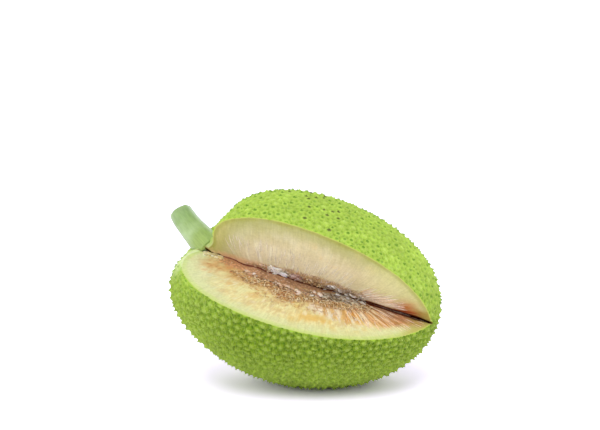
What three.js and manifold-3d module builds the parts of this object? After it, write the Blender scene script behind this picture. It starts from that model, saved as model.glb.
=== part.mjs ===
// A whole breadfruit with one wedge cut out of its front, resting on a small flat spot.
//
// Units are millimetres and degrees, +Z is up, and the origin is the centre of the
// bounding box's base. The stem is at the -X end and the wedge opens towards -Y.
import * as THREE from 'three';
import { mergeVertices } from 'three/addons/utils/BufferGeometryUtils.js';
import Module from 'manifold-3d';

// ---- Driving dimensions ------------------------------------------------------

// The fruit is an ellipsoid whose outside is the level of the tips of its skin.
const HALF_LENGTH = 92;
const HALF_WIDTH = 66.5;
const TAPER = 0.03; // share of the width lost from the middle to the far end
const NOSE_DOWN = 10; // how far the end away from the stem dips
const FRUIT_DETAIL = 13; // subdivisions of the icosahedron that the fruit starts as
const REST_DEPTH = 3; // how much of the underside the resting spot takes off

// The hollow that the stem grows from, with a low shoulder all round it.
const DIMPLE_TOWARDS = new THREE.Vector3(-0.887, 0.1, 0.45).normalize();
const DIMPLE_DEPTH = 0.2; // share of the local radius
const DIMPLE_SPREAD = 15.5;
const SHOULDER_RISE = 0.06;
const SHOULDER_AT = 42;
const SHOULDER_SPREAD = 27;

// The wedge: two flat knife cuts that meet on one line, which follows the core.
// The line's ends are measured from the fruit's centre.
const CUT_LINE_START = new THREE.Vector3(-71, 3.5, 28.8);
const CUT_LINE_END = new THREE.Vector3(86, -22.5, -17.2);
const LOWER_FACE_ANGLE = -18.2; // from the horizontal, seen along the line
const UPPER_FACE_ANGLE = 54;
const CUT_REACH = 220; // how far past the skin the cutting wedge runs

// The stem, from its root in the hollow to its cut end, from the fruit's centre.
const STEM_ROOT = new THREE.Vector3(-73, 14, 32.5);
const STEM_BEND = new THREE.Vector3(-82, 23, 39.5);
const STEM_TIP = new THREE.Vector3(-89, 32, 48.5);
const STEM_BURIED = 8; // length below the root, trimmed to the hollow
const STEM_BASE_RADIUS = 9.4;
const STEM_TIP_RADIUS = 8.1;
const STEM_EDGE_ROUND = 0.8; // bevel round the cut end
const STEM_SIDES = 28;
const STEM_STEPS = 10;
const STEM_GAP = 0.3; // clearance between the stem and the hollow

const COLOURS = { fruit: 0x9ccc4a, stem: 0xa5c57a };

// ---- Solid modelling helpers -------------------------------------------------

const wasm = await Module();
wasm.setup();

function toSolid(geometry) {
  const bare = geometry.clone();
  bare.deleteAttribute('normal');
  bare.deleteAttribute('uv');
  const merged = mergeVertices(bare, 1e-4);
  return new wasm.Manifold(new wasm.Mesh({
    numProp: 3,
    vertProperties: new Float32Array(merged.attributes.position.array),
    triVerts: new Uint32Array(merged.index.array),
  }));
}

function toGeometry(solid) {
  const mesh = solid.getMesh();
  const geometry = new THREE.BufferGeometry();
  geometry.setAttribute('position', new THREE.BufferAttribute(mesh.vertProperties, 3));
  geometry.setIndex(new THREE.BufferAttribute(mesh.triVerts, 1));
  geometry.computeVertexNormals();
  return geometry;
}

function bell(distance) {
  return Math.exp(-distance * distance);
}

// ---- The fruit ---------------------------------------------------------------

// A point of the uncut skin in the given direction from the centre, where x runs
// from the stem end to the far end.
function skinPoint(direction, outwards) {
  const fromDimple = THREE.MathUtils.radToDeg(direction.angleTo(DIMPLE_TOWARDS));
  const swell = 1
    - DIMPLE_DEPTH * bell(fromDimple / DIMPLE_SPREAD)
    + SHOULDER_RISE * bell((fromDimple - SHOULDER_AT) / SHOULDER_SPREAD);
  const girth = (HALF_WIDTH + outwards) * (1 - TAPER * swell * direction.x);
  return new THREE.Vector3(
    direction.x * swell * (HALF_LENGTH + outwards),
    direction.y * swell * girth,
    direction.z * swell * girth,
  );
}

// The fruit before it is cut, centred on the origin and tipped nose down.
function wholeFruit(outwards) {
  const geometry = new THREE.IcosahedronGeometry(1, FRUIT_DETAIL);
  const position = geometry.attributes.position;
  const direction = new THREE.Vector3();
  for (let i = 0; i < position.count; i += 1) {
    direction.fromBufferAttribute(position, i).normalize();
    const point = skinPoint(direction, outwards);
    position.setXYZ(i, point.x, point.y, point.z);
  }
  geometry.rotateY(THREE.MathUtils.degToRad(NOSE_DOWN));
  return geometry;
}

// The wedge that is taken out: a triangle swept along the cut line, with its apex on
// the line. The section's first axis is level, towards the front, and its second one
// points down.
function cutWedge() {
  const corner = (degrees) => {
    const angle = THREE.MathUtils.degToRad(degrees);
    return new THREE.Vector2(CUT_REACH * Math.cos(angle), -CUT_REACH * Math.sin(angle));
  };
  const section = new THREE.Shape([
    new THREE.Vector2(0, 0),
    corner(LOWER_FACE_ANGLE),
    corner(UPPER_FACE_ANGLE),
  ]);
  const along = CUT_LINE_END.clone().sub(CUT_LINE_START);
  const length = along.length() + 2 * CUT_REACH;
  const geometry = new THREE.ExtrudeGeometry(section, { depth: length, bevelEnabled: false });

  along.normalize();
  const front = new THREE.Vector3(0, 0, 1).cross(along).negate().normalize();
  const down = along.clone().cross(front);
  const start = CUT_LINE_START.clone().addScaledVector(along, -CUT_REACH);
  geometry.applyMatrix4(new THREE.Matrix4().makeBasis(front, down, along).setPosition(start));
  return geometry;
}

// Everything below the resting spot.
function belowRest(lowest) {
  const size = 4 * HALF_LENGTH;
  const slab = new THREE.BoxGeometry(size, size, size);
  return slab.translate(0, 0, lowest + REST_DEPTH - size / 2);
}

function fruitGeometry() {
  const whole = wholeFruit(0);
  whole.computeBoundingBox();
  const cut = toSolid(whole)
    .subtract(toSolid(cutWedge()))
    .subtract(toSolid(belowRest(whole.boundingBox.min.z)));
  return toGeometry(cut);
}

// ---- The stem ----------------------------------------------------------------

// Its profile is a straight lathe with the height running from 0 at the buried
// end to 1 at the cut end, and each ring is then carried onto the stem's curve.
function stemGeometry() {
  const buriedEnd = STEM_ROOT.clone()
    .addScaledVector(STEM_BEND.clone().sub(STEM_ROOT).normalize(), -STEM_BURIED);
  const curve = new THREE.QuadraticBezierCurve3(buriedEnd, STEM_BEND, STEM_TIP);
  const length = curve.getLength();
  const edge = STEM_EDGE_ROUND / length;

  const profile = [new THREE.Vector2(0, 0)];
  for (let step = 0; step <= STEM_STEPS; step += 1) {
    const along = (1 - edge) * step / STEM_STEPS;
    const radius = THREE.MathUtils.lerp(STEM_BASE_RADIUS, STEM_TIP_RADIUS, along);
    profile.push(new THREE.Vector2(radius, along));
  }
  profile.push(new THREE.Vector2(STEM_TIP_RADIUS - STEM_EDGE_ROUND, 1));
  profile.push(new THREE.Vector2(0, 1));
  const geometry = new THREE.LatheGeometry(profile, STEM_SIDES);

  const position = geometry.attributes.position;
  const upwards = new THREE.Vector3(0, 0, 1);
  for (let i = 0; i < position.count; i += 1) {
    const along = THREE.MathUtils.clamp(position.getY(i), 0, 1);
    const tangent = curve.getTangentAt(along);
    const side = upwards.clone().cross(tangent).normalize();
    const top = tangent.clone().cross(side);
    const point = curve.getPointAt(along)
      .addScaledVector(side, position.getZ(i))
      .addScaledVector(top, position.getX(i));
    position.setXYZ(i, point.x, point.y, point.z);
  }
  return toGeometry(toSolid(geometry).subtract(toSolid(wholeFruit(STEM_GAP))));
}

// ---- The part ----------------------------------------------------------------

function namedMesh(name, geometry) {
  const material = new THREE.MeshStandardMaterial({
    color: COLOURS[name],
    roughness: 0.6,
    metalness: 0,
  });
  const mesh = new THREE.Mesh(geometry, material);
  mesh.name = name;
  return mesh;
}

const breadfruit = new THREE.Group();
breadfruit.add(namedMesh('fruit', fruitGeometry()));
breadfruit.add(namedMesh('stem', stemGeometry()));

const box = new THREE.Box3().setFromObject(breadfruit);
const centre = box.getCenter(new THREE.Vector3());
breadfruit.position.set(-centre.x, -centre.y, -box.min.z);

export default breadfruit;
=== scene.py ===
"""The looks of a breadfruit that has had one wedge cut out of its front.

Shapes are worked out in millimetres from the fruit's centre, and each mesh is moved
to its place in the part's frame, in metres, when it is made.
"""
import functools
import itertools
import math

import bmesh
import bpy
import numpy as np
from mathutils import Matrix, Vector, kdtree


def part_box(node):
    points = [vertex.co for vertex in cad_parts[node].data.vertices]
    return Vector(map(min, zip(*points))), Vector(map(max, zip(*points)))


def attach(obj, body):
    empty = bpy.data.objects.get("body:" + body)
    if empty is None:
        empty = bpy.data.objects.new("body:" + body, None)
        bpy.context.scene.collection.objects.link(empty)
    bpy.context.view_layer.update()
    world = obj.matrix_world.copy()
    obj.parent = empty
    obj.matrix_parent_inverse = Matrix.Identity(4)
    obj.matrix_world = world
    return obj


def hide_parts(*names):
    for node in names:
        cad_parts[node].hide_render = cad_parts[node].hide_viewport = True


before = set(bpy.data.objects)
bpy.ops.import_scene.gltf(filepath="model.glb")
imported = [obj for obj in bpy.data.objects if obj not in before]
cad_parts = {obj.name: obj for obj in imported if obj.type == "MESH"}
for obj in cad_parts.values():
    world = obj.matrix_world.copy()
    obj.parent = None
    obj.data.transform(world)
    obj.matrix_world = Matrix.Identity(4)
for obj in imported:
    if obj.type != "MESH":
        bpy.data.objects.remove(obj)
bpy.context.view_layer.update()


# ---- Driving dimensions, in millimetres and degrees ---------------------------

MM = 0.001
SEED = 7

# How many steps or points the shapes are measured in.
OUTLINE_STEPS = 801
OUTSIDE_POINTS = 40000
STEM_STEPS = 24
CUT_LINE_STEPS = 6001
RIM_STEPS = 4001
CORE_STEPS = 20001

# The fruit's outside, as the CAD model has it, is the level of the tips of its knobs.
HALF_LENGTH = 92
HALF_WIDTH = 66.5
TAPER = 0.03
NOSE_DOWN = 10
REST_DEPTH = 3
DIMPLE_TOWARDS = np.array([-0.887, 0.1, 0.45])
DIMPLE_TOWARDS = DIMPLE_TOWARDS / np.linalg.norm(DIMPLE_TOWARDS)
DIMPLE_DEPTH = 0.2
DIMPLE_SPREAD = 15.5
SHOULDER_RISE = 0.06
SHOULDER_AT = 42
SHOULDER_SPREAD = 27

# The wedge's two flat cuts meet on one line along the core.
CUT_LINE_START = np.array([-71, 3.5, 28.8])
CUT_LINE_END = np.array([86, -22.5, -17.2])
CUT_MARGIN = 5  # how far behind the line the skin is still split
LOWER_FACE_ANGLE = -18.2
UPPER_FACE_ANGLE = 54

# The stem, from its root in the hollow to its cut end.
STEM_ROOT = np.array([-73, 14, 32.5])
STEM_BEND = np.array([-82, 23, 39.5])
STEM_TIP = np.array([-89, 32, 48.5])
STEM_BURIED = 9
STEM_BASE_RADIUS = 9.4
STEM_TIP_RADIUS = 8.1

# The knobs that cover the skin: low domes, each with a small point.
KNOB_COUNT = 2080
# How far they are scattered at first, and nudged at last, in mean spacings. In between
# they push their neighbours away: how many times, how many of them, from how many mean
# spacings, and how hard.
KNOB_SCATTER = 0.5
KNOB_JITTER = 0.25
SPREAD_ROUNDS = 26
SPREAD_NEIGHBOURS = 7
SPREAD_REACH = 1.35
SPREAD_PUSH = 0.3
DOME_HEIGHT = 0.4
POINT_HEIGHT = 1.5
KNOB_HEIGHT = DOME_HEIGHT + POINT_HEIGHT
PIT_DEPTH = 1.0  # how much deeper the valleys are where three knobs meet
PIT_FADE = 1.5  # above 1 keeps the pits to the feet of the knobs
KNOB_SIZE_SPREAD = 0.12
KNOB_SIZES = (0.75, 1.25)
KNOB_LEAN = 0.007
TOP_KNOBS = 0.72  # how high the knobs on top stand, beside the others
TOP_BETWEEN = (15, 50)  # the heights over the centre between which the top begins
RINGS = (0.3, 0.6, 0.82)  # how far in each ring is, from the valley to the tip
DOME_SHARES = (0.25, 0.7, 1.0)  # how much of the dome's height it has reached there
POINT_SHARES = (0.0, 0.07, 0.3)
ROUNDNESS = (0.2, 0.6, 1.0)
DARK_TIP_SHARE = 0.85
DARK_TIPS = (0.25, 0.8)  # how dark those tips are, from 0 to 1
BLACK_TIPS_AT = (4, -20)  # the middle of a few blackened tips on top
BLACK_TIPS_SPREAD = (17, 15)
BLACK_TIPS_ABOVE = (30, 50)
BLACK_TIP_SHARE = 0.7
PALE_AT = (-82, -6, 28)  # the skin is bleached here, below the stem
PALE_REACH = 20
SMOOTH_NEAR_STEM = (9, 21)  # knobs grow from nothing between these distances
SMOOTH_DEPTH = 0.15  # how deep the valleys are there, beside the others
MEAN_VALLEY = -2  # about how far outside the tips' level the valleys are
# How far below the cut the pits and tips change from crisp to soft, and how crisp they are.
CRISP_BELOW = (6, 30)
CRISPNESS = (0.75, 0.3)
# The skin is paler upwards, partly bleached and partly painted light, a little more
# towards the far end and the front, in clouds.
SUN_LEAN = (0.15, -0.1, 1)
SUN_BETWEEN = (-18, 42)
SUN_CLOUDS = (30, 9)  # how wide they are, and how far they shift it
# It is painted a little paler low down and at the stem's end too, as painted light: the
# distances from the centre between which that grows, and by how much.
LOW_DOWN = (22, 55)
PAINTED_LIGHT_LOW_DOWN = 0.22
STEM_SIDE = (40, 85)
PAINTED_LIGHT_BY_STEM = 0.25
SUN_ON_TIPS = (0.2, 0.6)  # tips are dark only where the skin is paler than this, bleached and painted as lit

# The flesh: columns of points that follow its fibres from the core to the rim.
COLUMNS = 300
ROWS = 32
LEAST_SPACING = 0.05  # the columns are taken to be at least this far apart
ROW_CROWDING = 1.5  # above 1 brings rows closer together near the core
RIM_INSET = 2.6
MOST_INSET = 0.35  # the largest share of a fibre that the inset may take
RIM_SMOOTHING = 220
FULL_BOW_REACH = 40
# How far the middles of the fibres bow along the core, at shares of its length.
LOWER_BOW = ((0, 2), (0.6, 2), (0.8, 5), (1, 5))
UPPER_BOW = ((0, -8), (0.2, -9), (0.32, 0), (0.45, 7), (0.6, 11), (1, 9))
# Towards each end the fibres fan out: for the stem's end and the far end, how far they
# are pushed along the core, as a share of its length, and how far from the end that
# reaches.
LOWER_FANS = ((0.1, 0.2), (0.31, 0.36))
UPPER_FANS = ((0.03, 0.1), (0.28, 0.3))
FAN_START = 0.012
# How far the flesh stands out: its fibres, more where they are combed, what is torn, and
# broad unevenness, each with the size of its bumps.
RIDGE_HEIGHTS = (0.1, 0.2)
RIDGE_SCALE = (0.9, 0.05, 1)
TORN_HEIGHT, TORN_WIDTH, FUZZ_SHARE = 0.65, 2.6, 0.6
UNEVEN_HEIGHT, UNEVEN_WIDTH = 0.22, 7
# It grows from nothing between these distances from the skin and from the core.
RELIEF_FROM_SKIN = (2, 8)
RELIEF_FROM_CORE = (0, 2)

# The torn flesh beside the core lies in belts. Each row is a share of the core's
# length, then where the belt starts and ends there, in mm off the core.
TO_CORE = -9  # starts so far behind the core that the belt's soft edge doesn't show
LOWER_STRIP = ((0.09, TO_CORE, 8), (0.2, TO_CORE, 9), (0.38, TO_CORE, 11), (0.47, TO_CORE, 8),
               (0.58, TO_CORE, 3))
LOWER_PULP = ((0.2, 9, 11), (0.27, 8, 14), (0.38, 11, 18), (0.47, 8, 17), (0.55, 5, 15),
              (0.62, TO_CORE, 12), (0.72, TO_CORE, 7))
LOWER_FUZZ = ((0.16, 12, 15), (0.25, 14, 22), (0.32, 14, 20), (0.38, 16, 28), (0.44, 15, 26),
              (0.5, 14, 20), (0.58, 11, 21), (0.64, 9, 18), (0.74, 3, 12))
LOWER_STRAYS = ((0.16, 13, 19), (0.27, 20, 29), (0.36, 25, 36), (0.47, 20, 32), (0.58, 20, 29))
LOWER_TUFTS = ((0.5, 20, 28), (0.58, 17, 32), (0.68, 14, 31), (0.78, 13, 24))
LOWER_FAR = ((0.645, 8, 20), (0.73, TO_CORE, 27), (0.81, TO_CORE, 24), (0.88, TO_CORE, 15),
             (0.97, TO_CORE, 6))
LOWER_FAR_STRANDS = ((0.645, 8, 20), (0.73, 2.4, 27), (0.81, 2.2, 24), (0.88, 2.2, 15), (0.95, 2, 6))
UPPER_PULP = ((0.2, TO_CORE, 2), (0.27, TO_CORE, 4), (0.3, TO_CORE, 6), (0.36, TO_CORE, 6),
              (0.38, TO_CORE, 5), (0.5, TO_CORE, 6), (0.55, TO_CORE, 4.5), (0.65, TO_CORE, 6),
              (0.71, TO_CORE, 3))
UPPER_FUZZ = ((0.26, 2, 5), (0.36, 4, 8), (0.5, 5, 10), (0.6, 4, 9), (0.74, 2, 6))
UPPER_ARCS = ((0.12, 4, 24), (0.3, 6, 26), (0.62, 7, 22))
UPPER_FAR = ((0.68, 1.5, 12), (0.8, 2.5, 11), (0.84, 3, 8))
UPPER_PINK = ((0.08, TO_CORE, 3), (0.24, TO_CORE, 5), (0.3, TO_CORE, 4))
BY_STEM = ((0.02, 2, 6), (0.1, 0, 4))
BELT_WAVES = ((5, 1.4, 81), (1.5, 0.9, 83))  # their edges' waves: width, height and seed
FACES_APART = 100.0  # how far apart the noises of the two faces are

# The dark gap where the two faces meet: a share of the core's length, then the gap's
# half width and its depth there.
GAP = ((0, 1.7, 3.5), (0.03, 1.5, 3.5), (0.05, 0.4, 0.4), (0.07, 0.3, 0.2), (0.08, 0.9, 2.0),
       (0.095, 0.25, 0.2), (0.12, 0.4, 0.2), (0.17, 0.45, 0.4), (0.5, 0.55, 0.6), (0.68, 0.7, 1.0),
       (0.74, 1.3, 2.5), (0.8, 1.2, 4), (0.94, 1.3, 7), (0.985, 0.6, 5))
# The seam's colours along the core: browns, darkened as painted shade in the gap and in the notch by the
# stem.
GAP_SHADES = ((0.0, "4A3010"), (0.08, "5A3C1C"), (0.11, "A8705A"), (0.25, "8A5440"), (0.5, "5E3826"),
              (0.72, "7A3C1C"), (0.85, "6A2812"), (1.0, "3C180A"))
GAP_EDGE = 0.03  # how open the gap is where its matt lining starts
GAP_FULLY_SHADED = 0.3  # and where its browns and painted shade are as dark as they get
SEAM_SHADE_WIDTH = 1.25  # how much wider the dark seam, brown with painted shade, is than the gap
FIBRES_IN_SEAM_SHADE = (1.5, 3.5)  # fibres nearer to the seam than this take its dark tint, partly painted shade
CORE_CLOSES = ((-0.005, 0.01), (0.975, 1))  # the gap is shut at both ends of the core
STRIP_PULP = 0.5  # how torn the strip beside the gap is
# The seam sags most at one place along the core, and waves up and down.
SEAM_SAG = 1.2
SEAM_SAG_AT = 0.3
SEAM_SAG_SPREAD = 0.22
SEAM_SAG_REACH = 9  # how far off the core it fades
SEAM_WAVE = 8  # about how long its waves are
SEAM_WAVE_REACH = 4
SEAM_WANDER = ((0, 1.0), (0.55, 0.8), (0.75, 0.15), (1, 0.1))

# The stem's outside, and its cut end.
STEM_RINGS = 44
STEM_SIDES = 72
STEM_RIBS = ((7, 0.1, 0), (11, 0.06, 1))  # how many, their height, and their turn
STEM_UNEVEN = 0.25
STEM_UNEVEN_SCALE = (1.6, 2.5)  # round it and along it
STEM_FLARE = 0.5
STEM_FLARE_AT = 0.25
STEM_FLARE_SPREAD = 0.16
STEM_GRAIN_LENGTH = 30
# The side with a pale painted highlight, as the cosine and sine of its turn, and how
# nearly a point has to face it.
STEM_HIGHLIGHT_TOWARDS = (0.4, -0.92)
STEM_HIGHLIGHT_EDGE = (0.3, 1)
# The rings of the cut end: their share of the stem's radius, and how deep they sink.
STEM_END_RINGS = ((0.985, -0.3), (0.93, -0.5), (0.85, -0.45), (0.6, -0.1), (0.3, 0.0))

# Colours, each with its place on a ramp.
# The skin's ramps run from the valleys to the tips, darker in the valleys as painted shade. The first is
# the skin painted as in shade, the second painted as lit and bleached.
SHADED_SKIN = ((0.0, "5E7C10"), (0.3, "6C8A18"), (0.6, "769220"), (0.84, "7B9624"))
LIT_AND_BLEACHED_SKIN = ((0.0, "9CB846"), (0.3, "A2C04A"), (0.6, "A8C64E"), (0.84, "AECC56"))
STEM_BODY = ((0.0, "90A850"), (0.3, "88A254"), (0.7, "82A05C"), (1.0, "84A064"))
STEM_END = ((0.0, "8FAA68"), (0.15, "B9C894"), (0.5, "C6CEA0"), (0.9, "AAB07A"))
LOWER_PAINTED_SHADE = (0.87, 0.87, 0.82)  # each face's whole colour is toned down by this, as painted shade
UPPER_PAINTED_SHADE = (0.86, 0.9, 0.78)

# The colours of what is torn, at shares of the core's length.
LOWER_FUZZ_SHADES = ((0.18, "F2D09C"), (0.25, "ECC890"), (0.33, "D0A068"), (0.4, "CC9052"),
                     (0.5, "D2AA74"), (0.58, "C89E64"), (0.72, "B4844C"))
LOWER_PULP_SHADES = ((0.18, "E8C49C"), (0.25, "E4BC92"), (0.33, "A07850"), (0.45, "BC947A"),
                     (0.52, "B2967E"), (0.58, "A08A72"), (0.64, "A8987E"), (0.7, "B0926A"))
LOWER_STRIP_SHADES = ((0.08, "E8B688"), (0.16, "E6AC84"), (0.24, "E6B694"), (0.34, "C89876"),
                      (0.44, "C89878"), (0.5, "C09070"), (0.56, "A47A5A"))
UPPER_FUZZ_SHADES = ((0.3, "E4BE8C"), (0.42, "DCB480"), (0.5, "CCA670"), (0.62, "BC9A6A"))
UPPER_PULP_SHADES = ((0.24, "DAB08A"), (0.29, "D2BA98"), (0.33, "E4E2D4"), (0.365, "D4CCBC"),
                     (0.39, "C0A492"), (0.43, "C0A48E"), (0.46, "B48A5C"), (0.52, "B0885C"),
                     (0.56, "C4AC98"), (0.63, "A8927A"), (0.69, "B4967C"))
# The far end's colours at distances off the core, and the tufts' at values of a noise.
LOWER_FAR_SHADES = ((2, "8E5C40"), (6, "B48460"), (11, "BE8A58"), (18, "CE9250"), (26, "E0BC74"))
TUFT_SHADES = ((-0.3, "DDA45C"), (-0.05, "E8C690"), (0.1, "F3E6CE"), (0.3, "FAF4EC"))

LOWER, UPPER = 0, 1  # the numbers of the two faces

# Lumps of pulp, each group with its face, how many there are, their belt, their radius,
# how much longer than wide they are, and their colours.
CREAMS = ("FAF2E8", "F0DCCA", "D8B498", "B08464", "966A4C", "C89C78")
GREYS = ("FAF6E8", "E4DFCE", "BEB6A4", "968A78", "CAB69A", "665240")
WHITES = ("FFFFF4", "FAF8E4", "F0ECD2")
MAUVES = ("D8BEAC", "BC9A8A", "946E5A")
LUMP_GROUPS = (
    (LOWER, 100, LOWER_PULP[:5], (0.35, 1.8), (1.0, 1.9), CREAMS),
    (LOWER, 96, LOWER_PULP[4:], (0.3, 1.5), (1.0, 2.3), GREYS),
    (UPPER, 30, ((0.22, 0, 4), (0.3, 0, 5)), (0.3, 1.0), (1.1, 2.0), ("F0DCB8", "E0C098", "B89066")),
    (UPPER, 12, ((0.295, 1.5, 4.5), (0.36, 1.5, 4.5)), (1.0, 1.7), (2.2, 3.6), WHITES),
    (UPPER, 16, ((0.385, 0.5, 6), (0.44, 0.5, 6)), (0.5, 1.3), (1.8, 3.2), MAUVES),
    (UPPER, 60, ((0.44, 0, 6), (0.53, 0, 6)), (0.3, 0.7), (1.0, 1.6),
     ("F0D098", "A87448", "80502C", "F8E6B2")),
    (UPPER, 50, ((0.53, 0, 5), (0.66, 0, 6), (0.71, 0, 3)), (0.3, 1.1), (1.3, 3.0), GREYS),
    (LOWER, 50, BY_STEM, (0.6, 1.8), (1.0, 1.8), ("F2E6B8", "E4D298", "F8EECA", "CCB878")),
)
LUMP_DETAIL = 3  # how often a lump's ball is subdivided
LUMP_TURN = 0.6
LUMP_FLATNESS = 0.55
LUMP_SMALLER = 2.5  # above 1 makes small lumps more common than large ones
LUMP_BUMPS = 0.24
LUMP_BUMP_SCALE = 1.3
LUMPS_APART = 900  # each lump has its own bumps, from a place in a noise up to this far off
LUMP_SINK = (-0.3, 0.25)  # how high their middles stand, in radii
LUMP_OWN_TINT = 0.9

# Loose fibres, each group with its face, how many there are, their belt, their length,
# their radius, how far they turn from the fibres under them, how high they stand, how
# much of their colour is their own, and their own colours.
BROWNS = ("8A5A32", "B07A44", "D8AC6C", "F0D8A4", "F6E6BE", "C87840")
GOLDS = ("F6E2AC", "E8C484", "FBF0CC")
STRAYS = ("A06A3A", "C08A50", "FBF0CC", "C87840", "E4B468")
TUFTS = ("FBF6EE", "F7ECD6", "E2AE6C", "F9F3E0")
ROSES = ("FBE3BC", "F6D8B4", "C98A66", "FFF2DA", "94523A", "E8B878")
BEIGES = ("EEE6CC", "F4EEDA", "E6DAB6")
STRAWS = ("FFF8E8", "F4E2C8", "C8986C", "FBF4DE", "E8C8A0")
STRAND_GROUPS = (
    (LOWER, 680, LOWER_FUZZ, (1.5, 5.5), (0.12, 0.28), 50, (0.1, 1.0), 0.85, BROWNS),
    (LOWER, 220, LOWER_FUZZ, (2, 4.5), (0.16, 0.3), 60, (0.5, 1.3), 0.9, GOLDS),
    (LOWER, 230, LOWER_STRAYS, (1.5, 4.5), (0.1, 0.2), 60, (0, 0.5), 0.75, STRAYS),
    (LOWER, 150, LOWER_PULP, (1.5, 4), (0.1, 0.2), 60, (0.2, 0.9), 0.8, BROWNS + CREAMS),
    (UPPER, 240, UPPER_FUZZ, (2, 4), (0.1, 0.2), 40, (0.1, 0.7), 0.7, BROWNS + CREAMS),
    (LOWER, 90, LOWER_TUFTS, (3, 8), (0.15, 0.35), 14, (0, 0.4), 0.6, TUFTS),
    (LOWER, 170, LOWER_FAR_STRANDS, (6, 19), (0.14, 0.32), 2, (-0.05, 0.2), 0.75, ROSES),
    (UPPER, 80, UPPER_ARCS, (5, 13), (0.2, 0.4), 3, (-0.05, 0.1), 0.6, BEIGES),
    (UPPER, 90, UPPER_FAR, (8, 18), (0.14, 0.32), 2, (-0.08, 0.1), 0.75, STRAWS),
)
STRAND_STEPS = 8
STRAND_SIDES = 4
STRAND_OVERHANG = 1.5
STRAND_CURL = 0.8  # how far they curl, beside how far they turn
STRAND_ARCH = 0.7  # below 1 lifts more of their length
STRAND_BLUNTNESS = 0.03  # this share of the taper is left off at each end
STRAND_THICKEST = 0.8  # below 1 is before their middle
STRAND_TAPER = 0.6  # below 1 keeps them thick for longer

# The studio, in metres.
FLOOR_RADIUS = 12
FLOOR_SIDES = 96
FLOOR_TINT = (1.38, 1.26, 1.62, 1)  # evens out the green that the fruit casts on it
WORLD_STRENGTH = 0.7
# Each light's name, the direction it comes from, its strength and its angular size.
LIGHTS = (
    ("top", (-0.1, -0.5, 1), 1.25, 40),
    ("left", (-1, -0.35, 0.4), 0.8, 50),
    ("right", (1, -0.1, 0.4), 0.58, 50),
    ("back", (0.2, 1, 0.6), 0.65, 50),
)
LENS = 131.85
CAMERA_OFFSET = np.array([-6.45, -1456.3, 363.4])  # mm from the fruit's centre
CAMERA_DIP = 12


# ---- Small helpers ------------------------------------------------------------


def bell(distance):
    """1 at no distance, falling off to 0 on both sides."""
    return np.exp(-np.square(distance))


def unit(vectors):
    """The same vectors with a length of 1."""
    return vectors / np.linalg.norm(vectors, axis=-1, keepdims=True)


def ease(low, high, value):
    """0 below low and 1 above high, with a smooth change between them."""
    share = np.clip((value - low) / (high - low), 0, 1)
    return share * share * (3 - 2 * share)


def mix(first, second, share):
    """Points or colours between two others, with this share of the second one."""
    share = np.asarray(share)[..., None]
    return np.asarray(first) * (1 - share) + np.asarray(second) * share


def mix_numbers(first, second, share):
    """The same for plain numbers."""
    return first * (1 - share) + second * share


def curve(start, middle, end, share):
    """Points from one point to another, on a curve that bends towards a middle one."""
    return (1 - share) ** 2 * start + 2 * share * (1 - share) * middle + share**2 * end


def turned(turns, first, second):
    """Directions turned by these angles from the first direction towards the second."""
    return np.cos(turns)[:, None] * first + np.sin(turns)[:, None] * second


def colour(hexadecimal):
    """Linear red, green and blue of a six-digit sRGB colour."""
    parts = np.array([int(hexadecimal[i:i + 2], 16) for i in (0, 2, 4)]) / 255
    return np.where(parts <= 0.04045, parts / 12.92, ((parts + 0.055) / 1.055) ** 2.4)


def between(first, second, share):
    """A colour between two six-digit ones."""
    return mix(colour(first), colour(second), share)


def coat(tint, shade, share):
    """A tint with this share of a six-digit colour laid over it."""
    return mix(tint, colour(shade), share)


# Large numbers that stir up the places of the cells.
HASH_FACTORS = np.array([73856093, 19349663, 83492791])
HASH_SEED_STEP = 40503
HASH_STIR = 1274126177


def lattice_value(cells, seed):
    """A fixed random number from -1 to 1 for each cell of whole-number places."""
    mixed = cells @ HASH_FACTORS + seed * HASH_SEED_STEP
    mixed = (mixed ^ (mixed >> 13)) * HASH_STIR
    mixed = mixed ^ (mixed >> 16)
    return (mixed & 0xFFFF) / 0x8000 - 1


def smooth_noise(points, seed):
    """Smooth random values, about -1 to 1, that change over about one unit."""
    cells = np.floor(points).astype(np.int64)
    blend = points - cells
    blend = blend * blend * (3 - 2 * blend)
    total = 0
    for corner in itertools.product((0, 1), repeat=3):
        weight = np.prod(np.where(corner, blend, 1 - blend), axis=-1)
        total = total + weight * lattice_value(cells + np.array(corner), seed)
    return total


def cloudy_noise(points, seed):
    """Smooth random values with two finer layers of detail on top."""
    layers = [smooth_noise(points * 2 ** n, seed + n) / 2 ** n for n in range(3)]
    return sum(layers) / 1.5


# ---- The fruit's form ---------------------------------------------------------

nose = math.radians(NOSE_DOWN)
TIPPED = np.array([
    [math.cos(nose), 0, math.sin(nose)],
    [0, 1, 0],
    [-math.sin(nose), 0, math.cos(nose)],
])


def swell(directions):
    """How much the fruit swells in these directions: less in the stem's hollow."""
    cosines = np.clip(directions @ DIMPLE_TOWARDS, -1, 1)
    from_dimple = np.degrees(np.arccos(cosines))
    return (
        1
        - DIMPLE_DEPTH * bell(from_dimple / DIMPLE_SPREAD)
        + SHOULDER_RISE * bell((from_dimple - SHOULDER_AT) / SHOULDER_SPREAD)
    )


def skin_points(directions, outwards):
    """Points of the uncut skin, this far outside the level of the knobs' tips."""
    swollen = swell(directions)
    narrowing = 1 - TAPER * swollen * directions[..., 0]
    length = swollen * (HALF_LENGTH + outwards)
    girth = swollen * (HALF_WIDTH + outwards) * narrowing
    untipped = directions * np.stack([length, girth, girth], axis=-1)
    return untipped @ TIPPED.T


def directions_to(points):
    """The directions whose skin points lie on the lines to these points."""
    untipped = points @ TIPPED
    directions = unit(untipped / (HALF_LENGTH, HALF_WIDTH, HALF_WIDTH))
    narrowing = 1 - TAPER * swell(directions) * directions[..., 0]
    girth = HALF_WIDTH * narrowing
    return unit(untipped / np.stack([np.full_like(girth, HALF_LENGTH), girth, girth], -1))


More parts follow.
